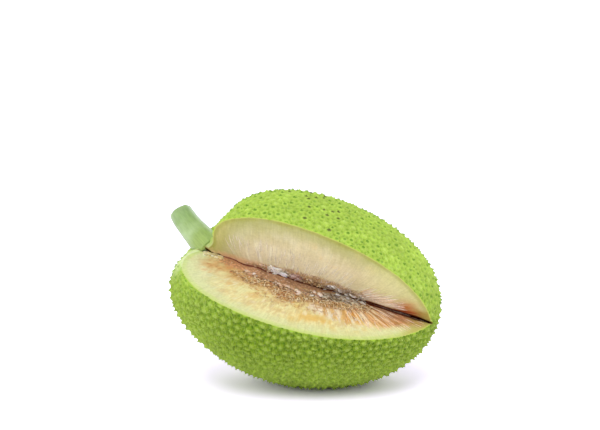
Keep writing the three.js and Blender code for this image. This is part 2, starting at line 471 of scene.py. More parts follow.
def depth_below_tips(points):
    """How deep points are inside the fruit, below the level of its knobs' tips."""
    surface = np.linalg.norm(skin_points(directions_to(points), 0), axis=-1)
    return surface - np.linalg.norm(points, axis=-1)


def spiral_directions(count):
    """Directions on a spiral from the stem end to the far end, even over the skin."""
    across = np.linspace(-1, 1, OUTLINE_STEPS)
    outline = np.stack([across * HALF_LENGTH, np.sqrt(1 - across**2) * HALF_WIDTH])
    slant = np.hypot(*np.diff(outline))
    band = slant * (outline[1, 1:] + outline[1, :-1])
    area = np.concatenate([[0], np.cumsum(band)])
    x = np.interp((np.arange(count) + 0.5) / count * area[-1], area, across)
    turn = np.arange(count) * math.pi * (3 - math.sqrt(5))
    radius = np.sqrt(1 - x**2)
    return np.stack([x, radius * np.cos(turn), radius * np.sin(turn)], axis=-1)


outside = skin_points(spiral_directions(OUTSIDE_POINTS), 0)
fruit_high = np.array(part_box("fruit")[1]) / MM
CENTRE = np.array([
    fruit_high[0] - outside[:, 0].max(),
    fruit_high[1] - outside[:, 1].max(),
    -REST_DEPTH - outside[:, 2].min(),
])

CORE = unit(CUT_LINE_END - CUT_LINE_START)
FRONT = unit(-np.cross([0, 0, 1], CORE))
UP = np.cross(CORE, -FRONT) * np.sign(np.cross(CORE, -FRONT)[2])
MIDDLE_ANGLE = (LOWER_FACE_ANGLE + UPPER_FACE_ANGLE) / 2


def in_section(degrees):
    """The direction across the core at this angle above the horizontal."""
    angle = math.radians(degrees)
    return math.cos(angle) * FRONT + math.sin(angle) * UP


def stem_axis(shares):
    """Points along the stem's middle, from 0 at its buried end to 1 at its cut end."""
    buried = STEM_ROOT - STEM_BURIED * unit(STEM_BEND - STEM_ROOT)
    return curve(buried, STEM_BEND, STEM_TIP, shares[:, None])


def distance_from_stem(points):
    """How far points are from the stem's middle line."""
    axis = stem_axis(np.linspace(0, 1, STEM_STEPS))
    return np.linalg.norm(points[..., None, :] - axis, axis=-1).min(axis=-1)


# ---- The skin's knobs ---------------------------------------------------------


def nearest_neighbours(points, count):
    """The numbers of the points that are nearest to each point."""
    tree = kdtree.KDTree(len(points))
    for index, point in enumerate(points):
        tree.insert(point, index)
    tree.balance()
    found = [[near for _, near, _ in tree.find_n(point, count + 1)][1:] for point in points]
    return np.array(found)


def knob_directions():
    """Where the knobs stand: spread out evenly, then nudged a little at random."""
    directions = spiral_directions(KNOB_COUNT)
    rng = np.random.default_rng(SEED)
    points = skin_points(directions, 0)
    spacing = np.linalg.norm(points[nearest_neighbours(points, 1)[:, 0]] - points, axis=1).mean()
    directions = directions_to(points + rng.normal(0, KNOB_SCATTER * spacing, points.shape))
    for _ in range(SPREAD_ROUNDS):
        points = skin_points(directions, 0)
        offsets = points[:, None] - points[nearest_neighbours(points, SPREAD_NEIGHBOURS)]
        distances = np.linalg.norm(offsets, axis=2, keepdims=True)
        pushes = offsets / distances * np.clip(SPREAD_REACH * spacing - distances, 0, None)
        directions = directions_to(points + SPREAD_PUSH * pushes.sum(axis=1))
    nudges = rng.uniform(-1, 1, points.shape) * KNOB_JITTER * spacing
    return directions_to(skin_points(directions, 0) + nudges)


def triangles_between(directions):
    """Triangles that join neighbouring knobs, wound to face outwards."""
    net = bmesh.new()
    for direction in directions:
        net.verts.new(direction)
    bmesh.ops.convex_hull(net, input=net.verts)
    for vert, point in zip(net.verts, skin_points(directions, 0)):
        vert.co = point
    bmesh.ops.beautify_fill(net, faces=net.faces, edges=net.edges, method="ANGLE")
    net.verts.index_update()
    triangles = np.array([[vert.index for vert in face.verts] for face in net.faces])
    net.free()
    a, b, c = (directions[triangles[:, corner]] for corner in range(3))
    inwards = np.einsum("ij,ij->i", np.cross(b - a, c - a), a + b + c) < 0
    triangles[inwards] = triangles[inwards][:, ::-1]
    return triangles


def cells_round(seeds):
    """The cells round the knobs, each one reaching the centres of its triangles.

    Returns the directions of the border points, which neighbouring cells share, and
    for each point of the ring round a knob: its knob, the border point that it looks
    out to, and the ring point that follows it, going round to the left. The first
    half of the ring points look out to places where three cells meet.
    """
    triangles = triangles_between(seeds)
    sides = 3 * len(triangles)
    # Side k of triangle f runs from its corner k to the next one, and is numbered 3f + k.
    triangle = np.arange(sides) // 3
    starts = triangles.ravel()
    ends = np.roll(triangles, -1, axis=1).ravel()
    edge_keys = np.minimum(starts, ends) * len(seeds) + np.maximum(starts, ends)
    pairs = np.argsort(edge_keys, kind="stable").reshape(-1, 2)
    twin = np.empty(sides, int)
    twin[pairs] = pairs[:, ::-1]
    edge = np.empty(sides, int)
    edge[pairs] = np.arange(len(pairs))[:, None]
    side_before = np.roll(np.arange(sides).reshape(-1, 3), 1, axis=1).ravel()

    corners = unit(seeds[triangles].mean(axis=1))
    middles = unit(corners[triangle[pairs]].sum(axis=1))
    border = np.concatenate([corners, middles])
    # Ring point h is the corner in side h's triangle, and sides + h is side h's middle.
    knob = np.concatenate([starts, starts])
    looks_to = np.concatenate([triangle, len(corners) + edge])
    following = np.concatenate([sides + twin[side_before], np.arange(sides)])
    return border, knob, looks_to, following


def valley_level(directions):
    """How far outside the tips' level the valleys are, which is shallow by the stem."""
    from_stem = distance_from_stem(skin_points(directions, MEAN_VALLEY))
    return -KNOB_HEIGHT * mix_numbers(SMOOTH_DEPTH, 1, ease(*SMOOTH_NEAR_STEM, from_stem))


def tip_darkness(rng, tips):
    """How dark each knob's tip is: most are dark, and a few on top nearly black."""
    is_dark = rng.uniform(0, 1, len(tips)) < DARK_TIP_SHARE
    dark = np.where(is_dark, rng.uniform(*DARK_TIPS, len(tips)), 0)
    blackened = patch(tips[:, 0], tips[:, 1], BLACK_TIPS_AT, BLACK_TIPS_SPREAD)
    blackened = BLACK_TIP_SHARE * blackened * ease(*BLACK_TIPS_ABOVE, tips[:, 2])
    return np.where(rng.uniform(0, 1, len(tips)) < blackened, 1, dark)


def skin_mesh():
    """The whole skin's points, its faces, and what each point's colour depends on."""
    rng = np.random.default_rng(SEED + 1)
    seeds = knob_directions()
    border, knob, looks_to, following = cells_round(seeds)
    offsets = border[looks_to] - seeds[knob]
    reach = np.linalg.norm(offsets, axis=1)
    mean_reach = (np.bincount(knob, reach) / np.bincount(knob))[knob]
    growth = ease(*SMOOTH_NEAR_STEM, distance_from_stem(skin_points(seeds, MEAN_VALLEY)))
    size = np.clip(rng.normal(1, KNOB_SIZE_SPREAD, len(seeds)), *KNOB_SIZES) * growth
    size = size * mix_numbers(1, TOP_KNOBS, ease(*TOP_BETWEEN, skin_points(seeds, 0)[:, 2]))
    lean = rng.normal(0, KNOB_LEAN, seeds.shape)

    pit = np.repeat([1.0, 0.0], len(knob) // 2)
    border_pit = np.empty(len(border))
    border_pit[looks_to] = pit
    border_level = valley_level(border) * (1 + PIT_DEPTH / KNOB_HEIGHT * border_pit)
    any_knob = np.empty(len(border), int)
    any_knob[looks_to] = knob
    # Each ring's points, how far up the knob they are, their share of a pit, and their knob.
    rings = [(skin_points(border, border_level), np.zeros(len(border)), border_pit, any_knob)]
    for share, dome, point, roundness in zip(RINGS, DOME_SHARES, POINT_SHARES, ROUNDNESS):
        evened = offsets * (1 + roundness * (mean_reach / reach - 1))[:, None]
        directions = unit(seeds[knob] + lean[knob] * share + evened * (1 - share))
        in_pit = pit * (1 - share) ** PIT_FADE
        raised = DOME_HEIGHT * dome + POINT_HEIGHT * point - PIT_DEPTH * in_pit
        levels = valley_level(directions) + size[knob] * raised
        rings.append((skin_points(directions, levels), np.full(len(knob), share), in_pit, knob))
    directions = unit(seeds + lean)
    tips = skin_points(directions, valley_level(directions) + size * KNOB_HEIGHT)
    rings.append((tips, np.ones(len(seeds)), np.zeros(len(seeds)), np.arange(len(seeds))))

    points, heights, pits, owners = map(np.concatenate, zip(*rings))
    values = {
        "knob": heights,
        "pit": pits,
        "shade": rng.uniform(0, 1, len(seeds))[owners],
        "dark": tip_darkness(rng, skin_points(seeds, 0))[owners],
        "growth": growth[owners],
    }
    faces = skin_faces(len(border), knob, looks_to, following)
    return rested(points), faces, values


def skin_faces(border_count, knob, looks_to, following):
    """Quads between the rings round each knob, and triangles that close its tip."""
    ring = np.arange(len(knob))
    first_rings = border_count + len(ring) * np.arange(len(RINGS))
    levels = [looks_to] + [first + ring for first in first_rings]
    faces = []
    for low, high in zip(levels, levels[1:]):
        faces += np.stack([low, low[following], high[following], high], 1).tolist()
    tips = first_rings[-1] + len(ring) + knob
    return faces + np.stack([levels[-1], levels[-1][following], tips], 1).tolist()


def rested(points):
    """The points with those that would be below the floor pressed flat onto it."""
    return np.maximum(points, (-math.inf, -math.inf, -CENTRE[2]))


# ---- The cut -------------------------------------------------------------------


def face_normal(degrees):
    """The direction that a cut face looks in, into the wedge."""
    normal = np.cross(CORE, in_section(degrees))
    return normal * np.sign(normal @ in_section(MIDDLE_ANGLE))


def core_ends():
    """Where the line that the cuts meet on comes out of the skin."""
    line = mix(CUT_LINE_START, CUT_LINE_END, np.linspace(-0.2, 1.2, CUT_LINE_STEPS))
    inside = line[depth_below_tips(line) > KNOB_HEIGHT / 2]
    return inside[0], inside[-1]


LOWER_NORMAL = face_normal(LOWER_FACE_ANGLE)
UPPER_NORMAL = face_normal(UPPER_FACE_ANGLE)
CORE_START, CORE_END = core_ends()
CORE_LENGTH = np.linalg.norm(CORE_END - CORE_START)


def above_faces(points):
    """How far points are inside the wedge from its lower and its upper face."""
    offsets = points - CUT_LINE_START
    return offsets @ LOWER_NORMAL, offsets @ UPPER_NORMAL


def face_centres(mesh):
    """The middles of a bmesh's faces."""
    return np.array([face.calc_center_median() for face in mesh.faces])


def cut_open(points, faces, values):
    """The skin without the part that the wedge takes off."""
    source = bpy.data.meshes.new("uncut")
    source.from_pydata(points, [], faces)
    for name, value in values.items():
        source.attributes.new(name, "FLOAT", "POINT").data.foreach_set("value", value)
    skin = bmesh.new()
    skin.from_mesh(source)
    bpy.data.meshes.remove(source)
    for normal in (LOWER_NORMAL, UPPER_NORMAL):
        in_front = (face_centres(skin) - CUT_LINE_START) @ FRONT > -CUT_MARGIN
        geometry = {face for face, chosen in zip(skin.faces, in_front) if chosen}
        for face in list(geometry):
            geometry.update(face.edges, face.verts)
        bmesh.ops.bisect_plane(
            skin, geom=list(geometry), dist=1e-4, plane_co=CUT_LINE_START, plane_no=normal
        )
    lower, upper = above_faces(face_centres(skin))
    taken = [face for face, gone in zip(skin.faces, (lower > 0) & (upper > 0)) if gone]
    bmesh.ops.delete(skin, geom=taken, context="FACES")
    skin.verts.index_update()
    skin.verts.ensure_lookup_table()
    return skin


def rims(skin):
    """The cut edge's points as two chains, lower and upper, from the stem's end."""
    open_edges = [edge for edge in skin.edges if edge.is_boundary]
    beside = {}
    for edge in open_edges:
        for vert, other in (edge.verts, reversed(edge.verts)):
            beside.setdefault(vert.index, []).append(other.index)
    places = {index: np.array(skin.verts[index].co) for index in beside}
    in_crease = sorted(places, key=lambda index: np.abs(above_faces(places[index])).sum())
    first = in_crease[0]
    last = next(
        index for index in in_crease
        if np.linalg.norm(places[index] - places[first]) > HALF_LENGTH
    )
    if places[first][0] > places[last][0]:
        first, last = last, first
    chains = []
    for step in beside[first]:
        chain = [first, step]
        while chain[-1] != last:
            chain.append(next(i for i in beside[chain[-1]] if i != chain[-2]))
        chains.append(chain)
    on_lower = [np.abs([above_faces(places[i])[0] for i in chain]).mean() for chain in chains]
    return chains if on_lower[0] < on_lower[1] else chains[::-1]


# ---- The flesh -----------------------------------------------------------------


def along_chain(points):
    """How far along a chain each of its points is."""
    steps = np.linalg.norm(np.diff(points, axis=0), axis=1)
    return np.concatenate([[0], np.cumsum(steps)])


def shares_along(points):
    """The same as shares of the chain's whole length."""
    travel = along_chain(points)
    return travel / travel[-1]


def at_shares(points, shares):
    """Points at these shares of a chain's length."""
    travel = along_chain(points)
    return np.stack([np.interp(shares * travel[-1], travel, axis) for axis in points.T], 1)


def smoothed(points, rounds):
    """The same chain without its small waves, with its ends kept."""
    even = at_shares(points, np.linspace(0, 1, len(points)))
    for _ in range(rounds):
        even[1:-1] = (even[:-2] + 2 * even[1:-1] + even[2:]) / 4
    return even


def lead(share, amount, reach):
    """A push along the core that starts at once at one end, and then fades."""
    return amount * np.exp(-share / reach) * (1 - np.exp(-share / FAN_START))


def rim_shares(on_core, near_stem, far_end):
    """Where the fibres that start at these shares of the core end on a rim.

    Towards both ends they fan out, so that a short piece of core feeds a long piece
    of rim.
    """
    share = np.linspace(0, 1, RIM_STEPS)
    feeding = share + lead(share, *near_stem) - lead(1 - share, *far_end)
    return np.interp(on_core, feeding, share)


def column_places():
    """Where each column of flesh points starts on the core: evenly spread on the rim."""
    on_core = np.linspace(0, 1, CORE_STEPS)
    travel = on_core + rim_shares(on_core, *LOWER_FANS) + rim_shares(on_core, *UPPER_FANS)
    return np.interp(np.linspace(0, travel[-1], COLUMNS), travel, on_core)


def in_belt(belt, along, off, softness):
    """1 inside a belt beside the core and 0 outside it, with soft edges this wide."""
    shares, starts, ends = np.array(belt).T
    inside = np.minimum(off - np.interp(along, shares, starts), np.interp(along, shares, ends) - off)
    from_ends = np.minimum(along - shares[0], shares[-1] - along) * CORE_LENGTH
    return ease(-softness, softness, np.minimum(inside, from_ends))


def ragged(mask, noise):
    """A soft mask with its edges broken up by noise."""
    return mask * ease(0.0, 0.8, mask + noise)


def patch(along, off, where, size):
    """1 at a place on a face and less further off: places are (share of the core, mm)."""
    return bell(np.hypot((along - where[0]) / size[0], (off - where[1]) / size[1]))


def shades_at(stops, value):
    """Colours between those of the stops, which are values with their colours."""
    places = [place for place, _ in stops]
    shades = np.array([colour(shade) for _, shade in stops])
    return np.stack([np.interp(value, places, channel) for channel in shades.T], axis=-1)


class CutFace:
    """One of the two flat cuts, with its flesh as a grid of points.

    A place on it is told by how far along the core it is, as a share of the core's
    length, and how far off the core, in mm. Each column of the grid follows a fibre.
    """

    def __init__(self, number, normal, bow, fans, belts, tint):
        self.number, self.normal, self.fans = number, normal, fans
        self.bow = np.array(bow).T
        self.belts = belts
        self.tint = tint

    def lay_out(self, rim, on_core):
        """Makes the grid from the core to just inside the rim."""
        self.rim, self.on_core = rim, on_core
        on_rim = self.on_rim = rim_shares(on_core, *self.fans)
        starts = mix(rim[0], rim[-1], on_core)
        ends = at_shares(smoothed(rim, RIM_SMOOTHING), on_rim)
        whole_reach = np.linalg.norm(ends - starts, axis=1)
        inset = np.minimum(RIM_INSET / np.maximum(whole_reach, 1e-6), MOST_INSET)
        ends = mix(ends, starts, inset)
        self.reach = whole_reach * (1 - inset)
        bow = np.interp(on_core, *self.bow) * np.minimum(1, self.reach / FULL_BOW_REACH)
        middles = (starts + ends) / 2 + bow[:, None] * CORE
        share = (np.linspace(0, 1, ROWS + 1) ** ROW_CROWDING)[None, :, None]
        points = curve(starts[:, None], middles[:, None], ends[:, None], share)
        off = share[..., 0] * self.reach[:, None]
        self.values = self.values_at(points, self.fibres(on_core, on_rim)[:, None], off)
        raised = points + self.relief(points)[..., None] * self.normal
        self.grid = seam_shape(raised, *core_places(points))

    def fibres(self, on_core, on_rim):
        """A number for each fibre that grows by about 1 for each mm sideways."""
        return (on_core * CORE_LENGTH + on_rim * along_chain(self.rim)[-1]) / 2

    def values_at(self, points, fibres, off_core):
        """What the colour at each of these points of the face depends on."""
        fibre = np.stack(np.broadcast_arrays(fibres, off_core, self.number * FACES_APART), axis=-1)
        along, off = core_places(points)
        uneven = sum(high * cloudy_noise(points / wide, seed) for wide, high, seed in BELT_WAVES)
        masks = {
            name: in_belt(belt, along, off + uneven, softness)
            for name, (belt, softness) in self.belts.items()
        }
        values = {name: masks[name] for name in ("pulp", "fuzz", "far")}
        if "strip" in masks:
            values["pulp"] = np.maximum(masks["pulp"], STRIP_PULP * masks["strip"])
        values["gap"] = seam_gap(along, off / SEAM_SHADE_WIDTH)
        values["fibre"] = fibre
        # Near the seam the tint turns to its browns, darkened as painted shade.
        seam_brown_and_shade = ease(GAP_EDGE, GAP_FULLY_SHADED, values["gap"])
        tint = self.tint(points, fibre, along, off, masks)
        values["tint"] = mix(tint, shades_at(GAP_SHADES, along), seam_brown_and_shade)
        return values

    def rim_values(self):
        """The same for the rim's own points."""
        shares = shares_along(self.rim)
        on_core = np.interp(shares, self.on_rim, self.on_core)
        reach = np.interp(shares, self.on_rim, self.reach) + RIM_INSET
        return self.values_at(self.rim, self.fibres(on_core, shares), reach)

    def relief(self, points):
        """How far the flesh stands out of its flat cut: fibre ridges and torn patches."""
        inside = ease(*RELIEF_FROM_SKIN, depth_below_tips(points))
        inside = inside * ease(*RELIEF_FROM_CORE, core_places(points)[1])
        ridges = cloudy_noise(self.values["fibre"] * RIDGE_SCALE, seed=3)
        ridge_height = RIDGE_HEIGHTS[0] + RIDGE_HEIGHTS[1] * self.values["far"]
        torn = np.maximum(self.values["pulp"], FUZZ_SHARE * self.values["fuzz"])
        coarse = cloudy_noise(points / TORN_WIDTH, seed=11)
        uneven = cloudy_noise(points / UNEVEN_WIDTH, seed=13)
        return inside * (
            ridge_height * ridges + TORN_HEIGHT * torn * coarse + UNEVEN_HEIGHT * uneven
        )

    def at(self, field, column, off):
        """A field of the grid at any column, whole or not, and distance off the core."""
        column = np.clip(column, 0, COLUMNS - 1.001)
        reach = np.interp(column, np.arange(COLUMNS), self.reach)
        row = ROWS * np.clip(off / reach, 0, 0.999) ** (1 / ROW_CROWDING)
        i, j = column.astype(int), row.astype(int)
        u, v = (column - i)[..., None], (row - j)[..., None]
        near = field[i, j] * (1 - u) + field[i + 1, j] * u
        far = field[i, j + 1] * (1 - u) + field[i + 1, j + 1] * u
        return near * (1 - v) + far * v

    def scattered(self, rng, count, belt):
        """Columns and distances off the core of random places that lie in a belt."""
        centres = (self.grid[1:, 1:] + self.grid[:-1, :-1]) / 2
        sideways = np.linalg.norm(self.grid[1:, 1:] - self.grid[:-1, 1:], axis=-1)
        outwards = np.linalg.norm(self.grid[1:, 1:] - self.grid[1:, :-1], axis=-1)
        weight = sideways * outwards * in_belt(belt, *core_places(centres), 1.0)
        chosen = rng.choice(weight.size, count, p=weight.ravel() / weight.sum())
        column, row = np.unravel_index(chosen, weight.shape)
        column = column + rng.uniform(0, 1, count)
        reach = np.interp(column, np.arange(COLUMNS), self.reach)
        return column, reach * ((row + rng.uniform(0, 1, count)) / ROWS) ** ROW_CROWDING


def core_places(points):
    """How far along the core, from 0 to 1, and how far off it in mm points are."""
    offsets = points - CORE_START
    along = offsets @ CORE
    off = np.linalg.norm(offsets - along[..., None] * CORE, axis=-1)
    return along / CORE_LENGTH, off


def closed_ends(along):
    """1 along the core, falling to 0 where it reaches the skin."""
    start, end = CORE_CLOSES
    return ease(*start, along) * (1 - ease(*end, along))


def seam_gap(along, off):
    """How open the gap between the faces is, from 0 to 1."""
    shares, widths, _ = np.array(GAP).T
    return closed_ends(along) * bell(off / np.interp(along, shares, widths))


def seam_shape(points, along, off):
    """The flesh moved into the dark gap along the core, with its soft uneven lips."""
    shares, _, depths = np.array(GAP).T
    wander = cloudy_noise(along[..., None] * (CORE_LENGTH / SEAM_WAVE, 0, 0), seed=17)
    wander = wander * np.interp(along, *np.array(SEAM_WANDER).T)
    sag = (
        SEAM_SAG * bell((along - SEAM_SAG_AT) / SEAM_SAG_SPREAD) * np.exp(-off / SEAM_SAG_REACH)
        + wander * np.exp(-off / SEAM_WAVE_REACH) * closed_ends(along)
    )
    gap = np.interp(along, shares, depths) * seam_gap(along, off)
    return points - sag[..., None] * UP - gap[..., None] * in_section(MIDDLE_ANGLE)


def lower_cream(along, off, depth, mottle, blotch, speck, streak):
    """The lower face's colour away from what is torn: cream, and green by the skin."""
    by_stem = 1 - ease(0.1, 0.5, along)
    tint = between("E2D296", "EDE5B2", ease(-0.35, 0.35, mottle))
    tint = coat(tint, "E0C67C", 0.6 * ease(0.05, 0.5, blotch + 0.15 * streak))
    tint = coat(tint, "F2EED4", 0.65 * ease(0.1, 0.5, 0.5 * speck - mottle))
    tint = coat(tint, "D2B47C", 0.6 * ease(0.15, 0.6, speck - blotch))
    left_tip = (1 - ease(0.0, 0.2, along + 0.06 * mottle)) * ease(4, 12, off + 4 * mottle)
    tint = mix(tint, between("D4DDB0", "E4E8CC", ease(-0.3, 0.3, mottle)), 0.7 * left_tip)
    peach = by_stem * (1 - ease(13, 28, off + 6 * blotch + 5 * mottle)) * ease(-0.02, 0.03, along)
    tint = mix(tint, between("C68E54", "E0B880", ease(-0.4, 0.4, speck)), 0.85 * peach)
    tint = coat(tint, "DE9C70", 0.5 * by_stem * ease(0.2, 0.6, blotch - 0.4 * speck))
    yellow = ease(0.3, 0.5, along) * ease(24, 32, off) * ease(-0.1, 0.4, blotch + 0.3 * streak)
    tint = coat(tint, "E0B45C", 0.6 * yellow)
    green = 0.75 * (1 - ease(9, 19, depth + 2 * mottle)) + 0.3 * by_stem * ease(0.0, 0.5, mottle)
    tint = coat(tint, "D8DEAA", np.clip(green, 0, 1))
    return coat(tint, "C6DA82", 0.75 * (1 - ease(4, 8, depth + mottle)))


def lower_tint(points, fibre, along, off, masks):
    """The lower face's colour: cream, with brown torn belts beside the core."""
    mottle = cloudy_noise(points / 4.2, seed=21)
    blotch = cloudy_noise(points / 9, seed=23)
    speck = cloudy_noise(points / 1.5, seed=25)
    streak = cloudy_noise(fibre * (0.4, 0.04, 1), seed=29)
    tint = lower_cream(along, off, depth_below_tips(points), mottle, blotch, speck, streak)

    tufts = shades_at(TUFT_SHADES, cloudy_noise(fibre * (0.22, 0.03, 1), seed=31))
    tint = mix(tint, tufts, 0.85 * ragged(masks["tufts"], 0.5 * speck))
    near_core = 1 - ease(14, 32, off + 5 * mottle + 4 * speck)
    near_core = near_core * ease(0.12, 0.3, along) * (1 - ease(0.7, 0.8, along))
    tint = coat(tint, "DDB97C", 0.5 * near_core)
    halo = in_belt(LOWER_FUZZ, along, off + 4 * mottle, 11)
    tint = coat(tint, "DCAE66", 0.6 * halo * ease(-0.5, 0.2, mottle + 0.5 * speck))
    rusty = patch(along, off, (0.38, 21.5), (0.05, 6))
    fuzz = coat(shades_at(LOWER_FUZZ_SHADES, along), "D07030", 0.55 * rusty)
    fuzz = coat(fuzz, "9A7048", 0.6 * ease(0.0, 0.5, speck - 0.3 * mottle))
    tint = mix(tint, fuzz, 0.9 * ragged(masks["fuzz"], 0.6 * mottle + 0.4 * speck))
    pulp = coat(shades_at(LOWER_PULP_SHADES, along), "8A603E", 0.5 * ease(0.05, 0.5, speck))
    tint = mix(tint, pulp, 0.9 * ragged(masks["pulp"], 0.4 * mottle))
    dark = 0.35 * ease(-0.1, 0.5, speck + 0.6 * mottle)
    strip = coat(shades_at(LOWER_STRIP_SHADES, along), "AC7850", dark)
    tint = mix(tint, strip, 0.9 * ragged(masks["strip"], 0.3 * mottle))
    lines = ease(-0.25, 0.2, cloudy_noise(fibre * (0.75, 0.02, 1), seed=33))
    far = shades_at(LOWER_FAR_SHADES, off)
    far = mix(far, between("F6DEB8", "D09470", ease(0.74, 0.88, along)), lines)
    tint = mix(tint, far, ragged(masks["far"], 0.5 * streak + 0.2 * speck))
    at_end = ease(0.86, 0.94, along + 0.01 * speck)
    # The whole face is toned down as painted shade.
    return coat(tint, "BEAE5C", 0.75 * at_end) * LOWER_PAINTED_SHADE


def upper_beige(fibre, along, off, depth, mottle, streak):
    """The upper face's colour away from what is torn: beige, and olive by the skin."""
    tint = between("DACDA6", "E4DAB8", ease(-0.4, 0.5, mottle + 0.5 * streak))
    warm = ease(0.0, 0.6, mottle) * ease(0.35, 0.5, along) * (1 - ease(0.7, 0.85, along))
    tint = coat(tint, "DEC28A", 0.5 * warm)
    lines = ease(0.1, 0.45, cloudy_noise(fibre * (0.42, 0.02, 1), seed=47))
    tint = coat(tint, "EADCC0", 0.6 * in_belt(UPPER_ARCS, along, off, 8))
    tint = coat(tint, "F6F0DC", 0.6 * in_belt(UPPER_ARCS, along, off, 5) * lines)
    olive_depth = np.interp(along, (0.0, 0.12, 0.5), (42, 36, 26))
    olive = 1 - ease(0.1, 1.0, (depth + 3 * mottle) / olive_depth)
    olive = olive + 0.45 * (1 - ease(0.0, 0.12, along)) * ease(0, 9, off)
    olive_shade = between("B8B264", "A0A452", ease(0.05, 0.15, along))
    tint = mix(tint, olive_shade, 0.8 * np.clip(olive, 0, 1))
    tint = coat(tint, "DAD69C", 0.65 * ease(0.62, 0.8, along + 0.04 * mottle))
    return coat(tint, "9EA048", 0.75 * (1 - ease(3.5, 7.5, depth + mottle)))


def upper_tint(points, fibre, along, off, masks):
    """The upper face's colour: beige, torn beside the core and red at its far end."""
    mottle = cloudy_noise(points / 8, seed=41)
    speck = cloudy_noise(points / 1.5, seed=45)
    streak = cloudy_noise(fibre * (0.5, 0.02, 1), seed=49)
    tint = upper_beige(fibre, along, off, depth_below_tips(points), mottle, streak)

    width = np.interp(along, (0.05, 0.3, 0.5, 0.7, 0.85), (5, 8, 12, 9, 4))
    by_core = (1 - ease(0.3, 1, (off + 3 * speck) / width)) * (1 - ease(0.88, 0.95, along))
    tint = coat(tint, "ECC89C", 0.55 * by_core)
    tint = coat(tint, "E8B68E", 0.7 * in_belt(UPPER_PINK, along, off, 3))
    fuzz = shades_at(UPPER_FUZZ_SHADES, along)
    tint = mix(tint, fuzz, 0.8 * ragged(masks["fuzz"], 0.5 * mottle + 0.4 * speck))
    tint = mix(tint, shades_at(UPPER_PULP_SHADES, along), 0.9 * masks["pulp"])
    lines = ease(-0.1, 0.4, cloudy_noise(fibre * (0.7, 0.015, 1), seed=53))
    tint = mix(tint, between("E0BC90", "FAF0DC", lines), 0.85 * masks["far"])
    at_end = ease(0.87, 0.94, along + 0.01 * speck) * (1 - ease(7, 12, off))
    tint = coat(tint, "A08C40", 0.85 * at_end)
    red = patch(along, off, (0.88, 5), (0.05, 8)) * (0.8 + 0.5 * streak)
    tint = coat(tint, "C46E36", np.clip(1.3 * red, 0, 0.9))
    spot = patch(along, off, (0.885, 1), (0.045, 4.5)) * ease(-0.8, 0.2, streak)
    # The whole face is toned down as painted shade.
    return coat(tint, "9A3A1C", np.clip(1.3 * spot, 0, 0.95)) * UPPER_PAINTED_SHADE


# Each face with its belts, and how soft their edges are in mm.
FACES = (
    CutFace(LOWER, LOWER_NORMAL, LOWER_BOW, LOWER_FANS, {
        "strip": (LOWER_STRIP, 1.5), "pulp": (LOWER_PULP, 2.5), "fuzz": (LOWER_FUZZ, 5.5),
        "tufts": (LOWER_TUFTS, 4.0), "far": (LOWER_FAR, 3.5),
    }, lower_tint),
    CutFace(UPPER, UPPER_NORMAL, UPPER_BOW, UPPER_FANS, {
        "pulp": (UPPER_PULP, 2.0), "fuzz": (UPPER_FUZZ, 3.0), "far": (UPPER_FAR, 2.5),
    }, upper_tint),
)


def zipped(first, second, first_shares, second_shares):
    """Triangles between two chains of points that run side by side."""
    triangles = []
    i = j = 0
    while i < len(first) - 1 or j < len(second) - 1:
        at_end = j == len(second) - 1
        if at_end or (i < len(first) - 1 and first_shares[i + 1] < second_shares[j + 1]):
            triangles.append([first[i], first[i + 1], second[j]])
            i += 1
        else:
            triangles.append([first[i], second[j + 1], second[j]])
            j += 1
    return [face for face in triangles if len(set(face)) == 3]


def grid_faces(ids):
    """The quads of a grid of point numbers, or triangles where two of them are one."""
    faces = []
    corners = np.stack([ids[:-1, :-1], ids[1:, :-1], ids[1:, 1:], ids[:-1, 1:]], -1)
    for face in corners.reshape(-1, 4).tolist():
        face = list(dict.fromkeys(face))
        if len(face) > 2:
            faces.append(face)
    return faces


def facing(faces, points, normal):
    """The same faces, turned over if they look away from the normal."""
    a, b, c = points[np.array([face[:3] for face in faces])].transpose(1, 0, 2)
    if np.cross(b - a, c - a).sum(axis=0) @ normal > 0:
        return faces
    return [face[::-1] for face in faces]


class Mesh:
    """Points, faces and the numbers that go with each point."""

    def __init__(self, points, faces, values):
        self.points, self.faces, self.values = points, faces, values

    def add_points(self, points, values):
        """Adds points, and returns their numbers."""
        first = len(self.points)
        self.points = np.concatenate([self.points, points])
        for name in sorted(self.values.keys() | values.keys()):
            known = self.values.get(name, values.get(name))
            old = self.values.get(name, np.zeros((first, *known.shape[1:])))
            new = values.get(name, np.zeros((len(points), *known.shape[1:])))
            self.values[name] = np.concatenate([old, new])
        return first + np.arange(len(points))


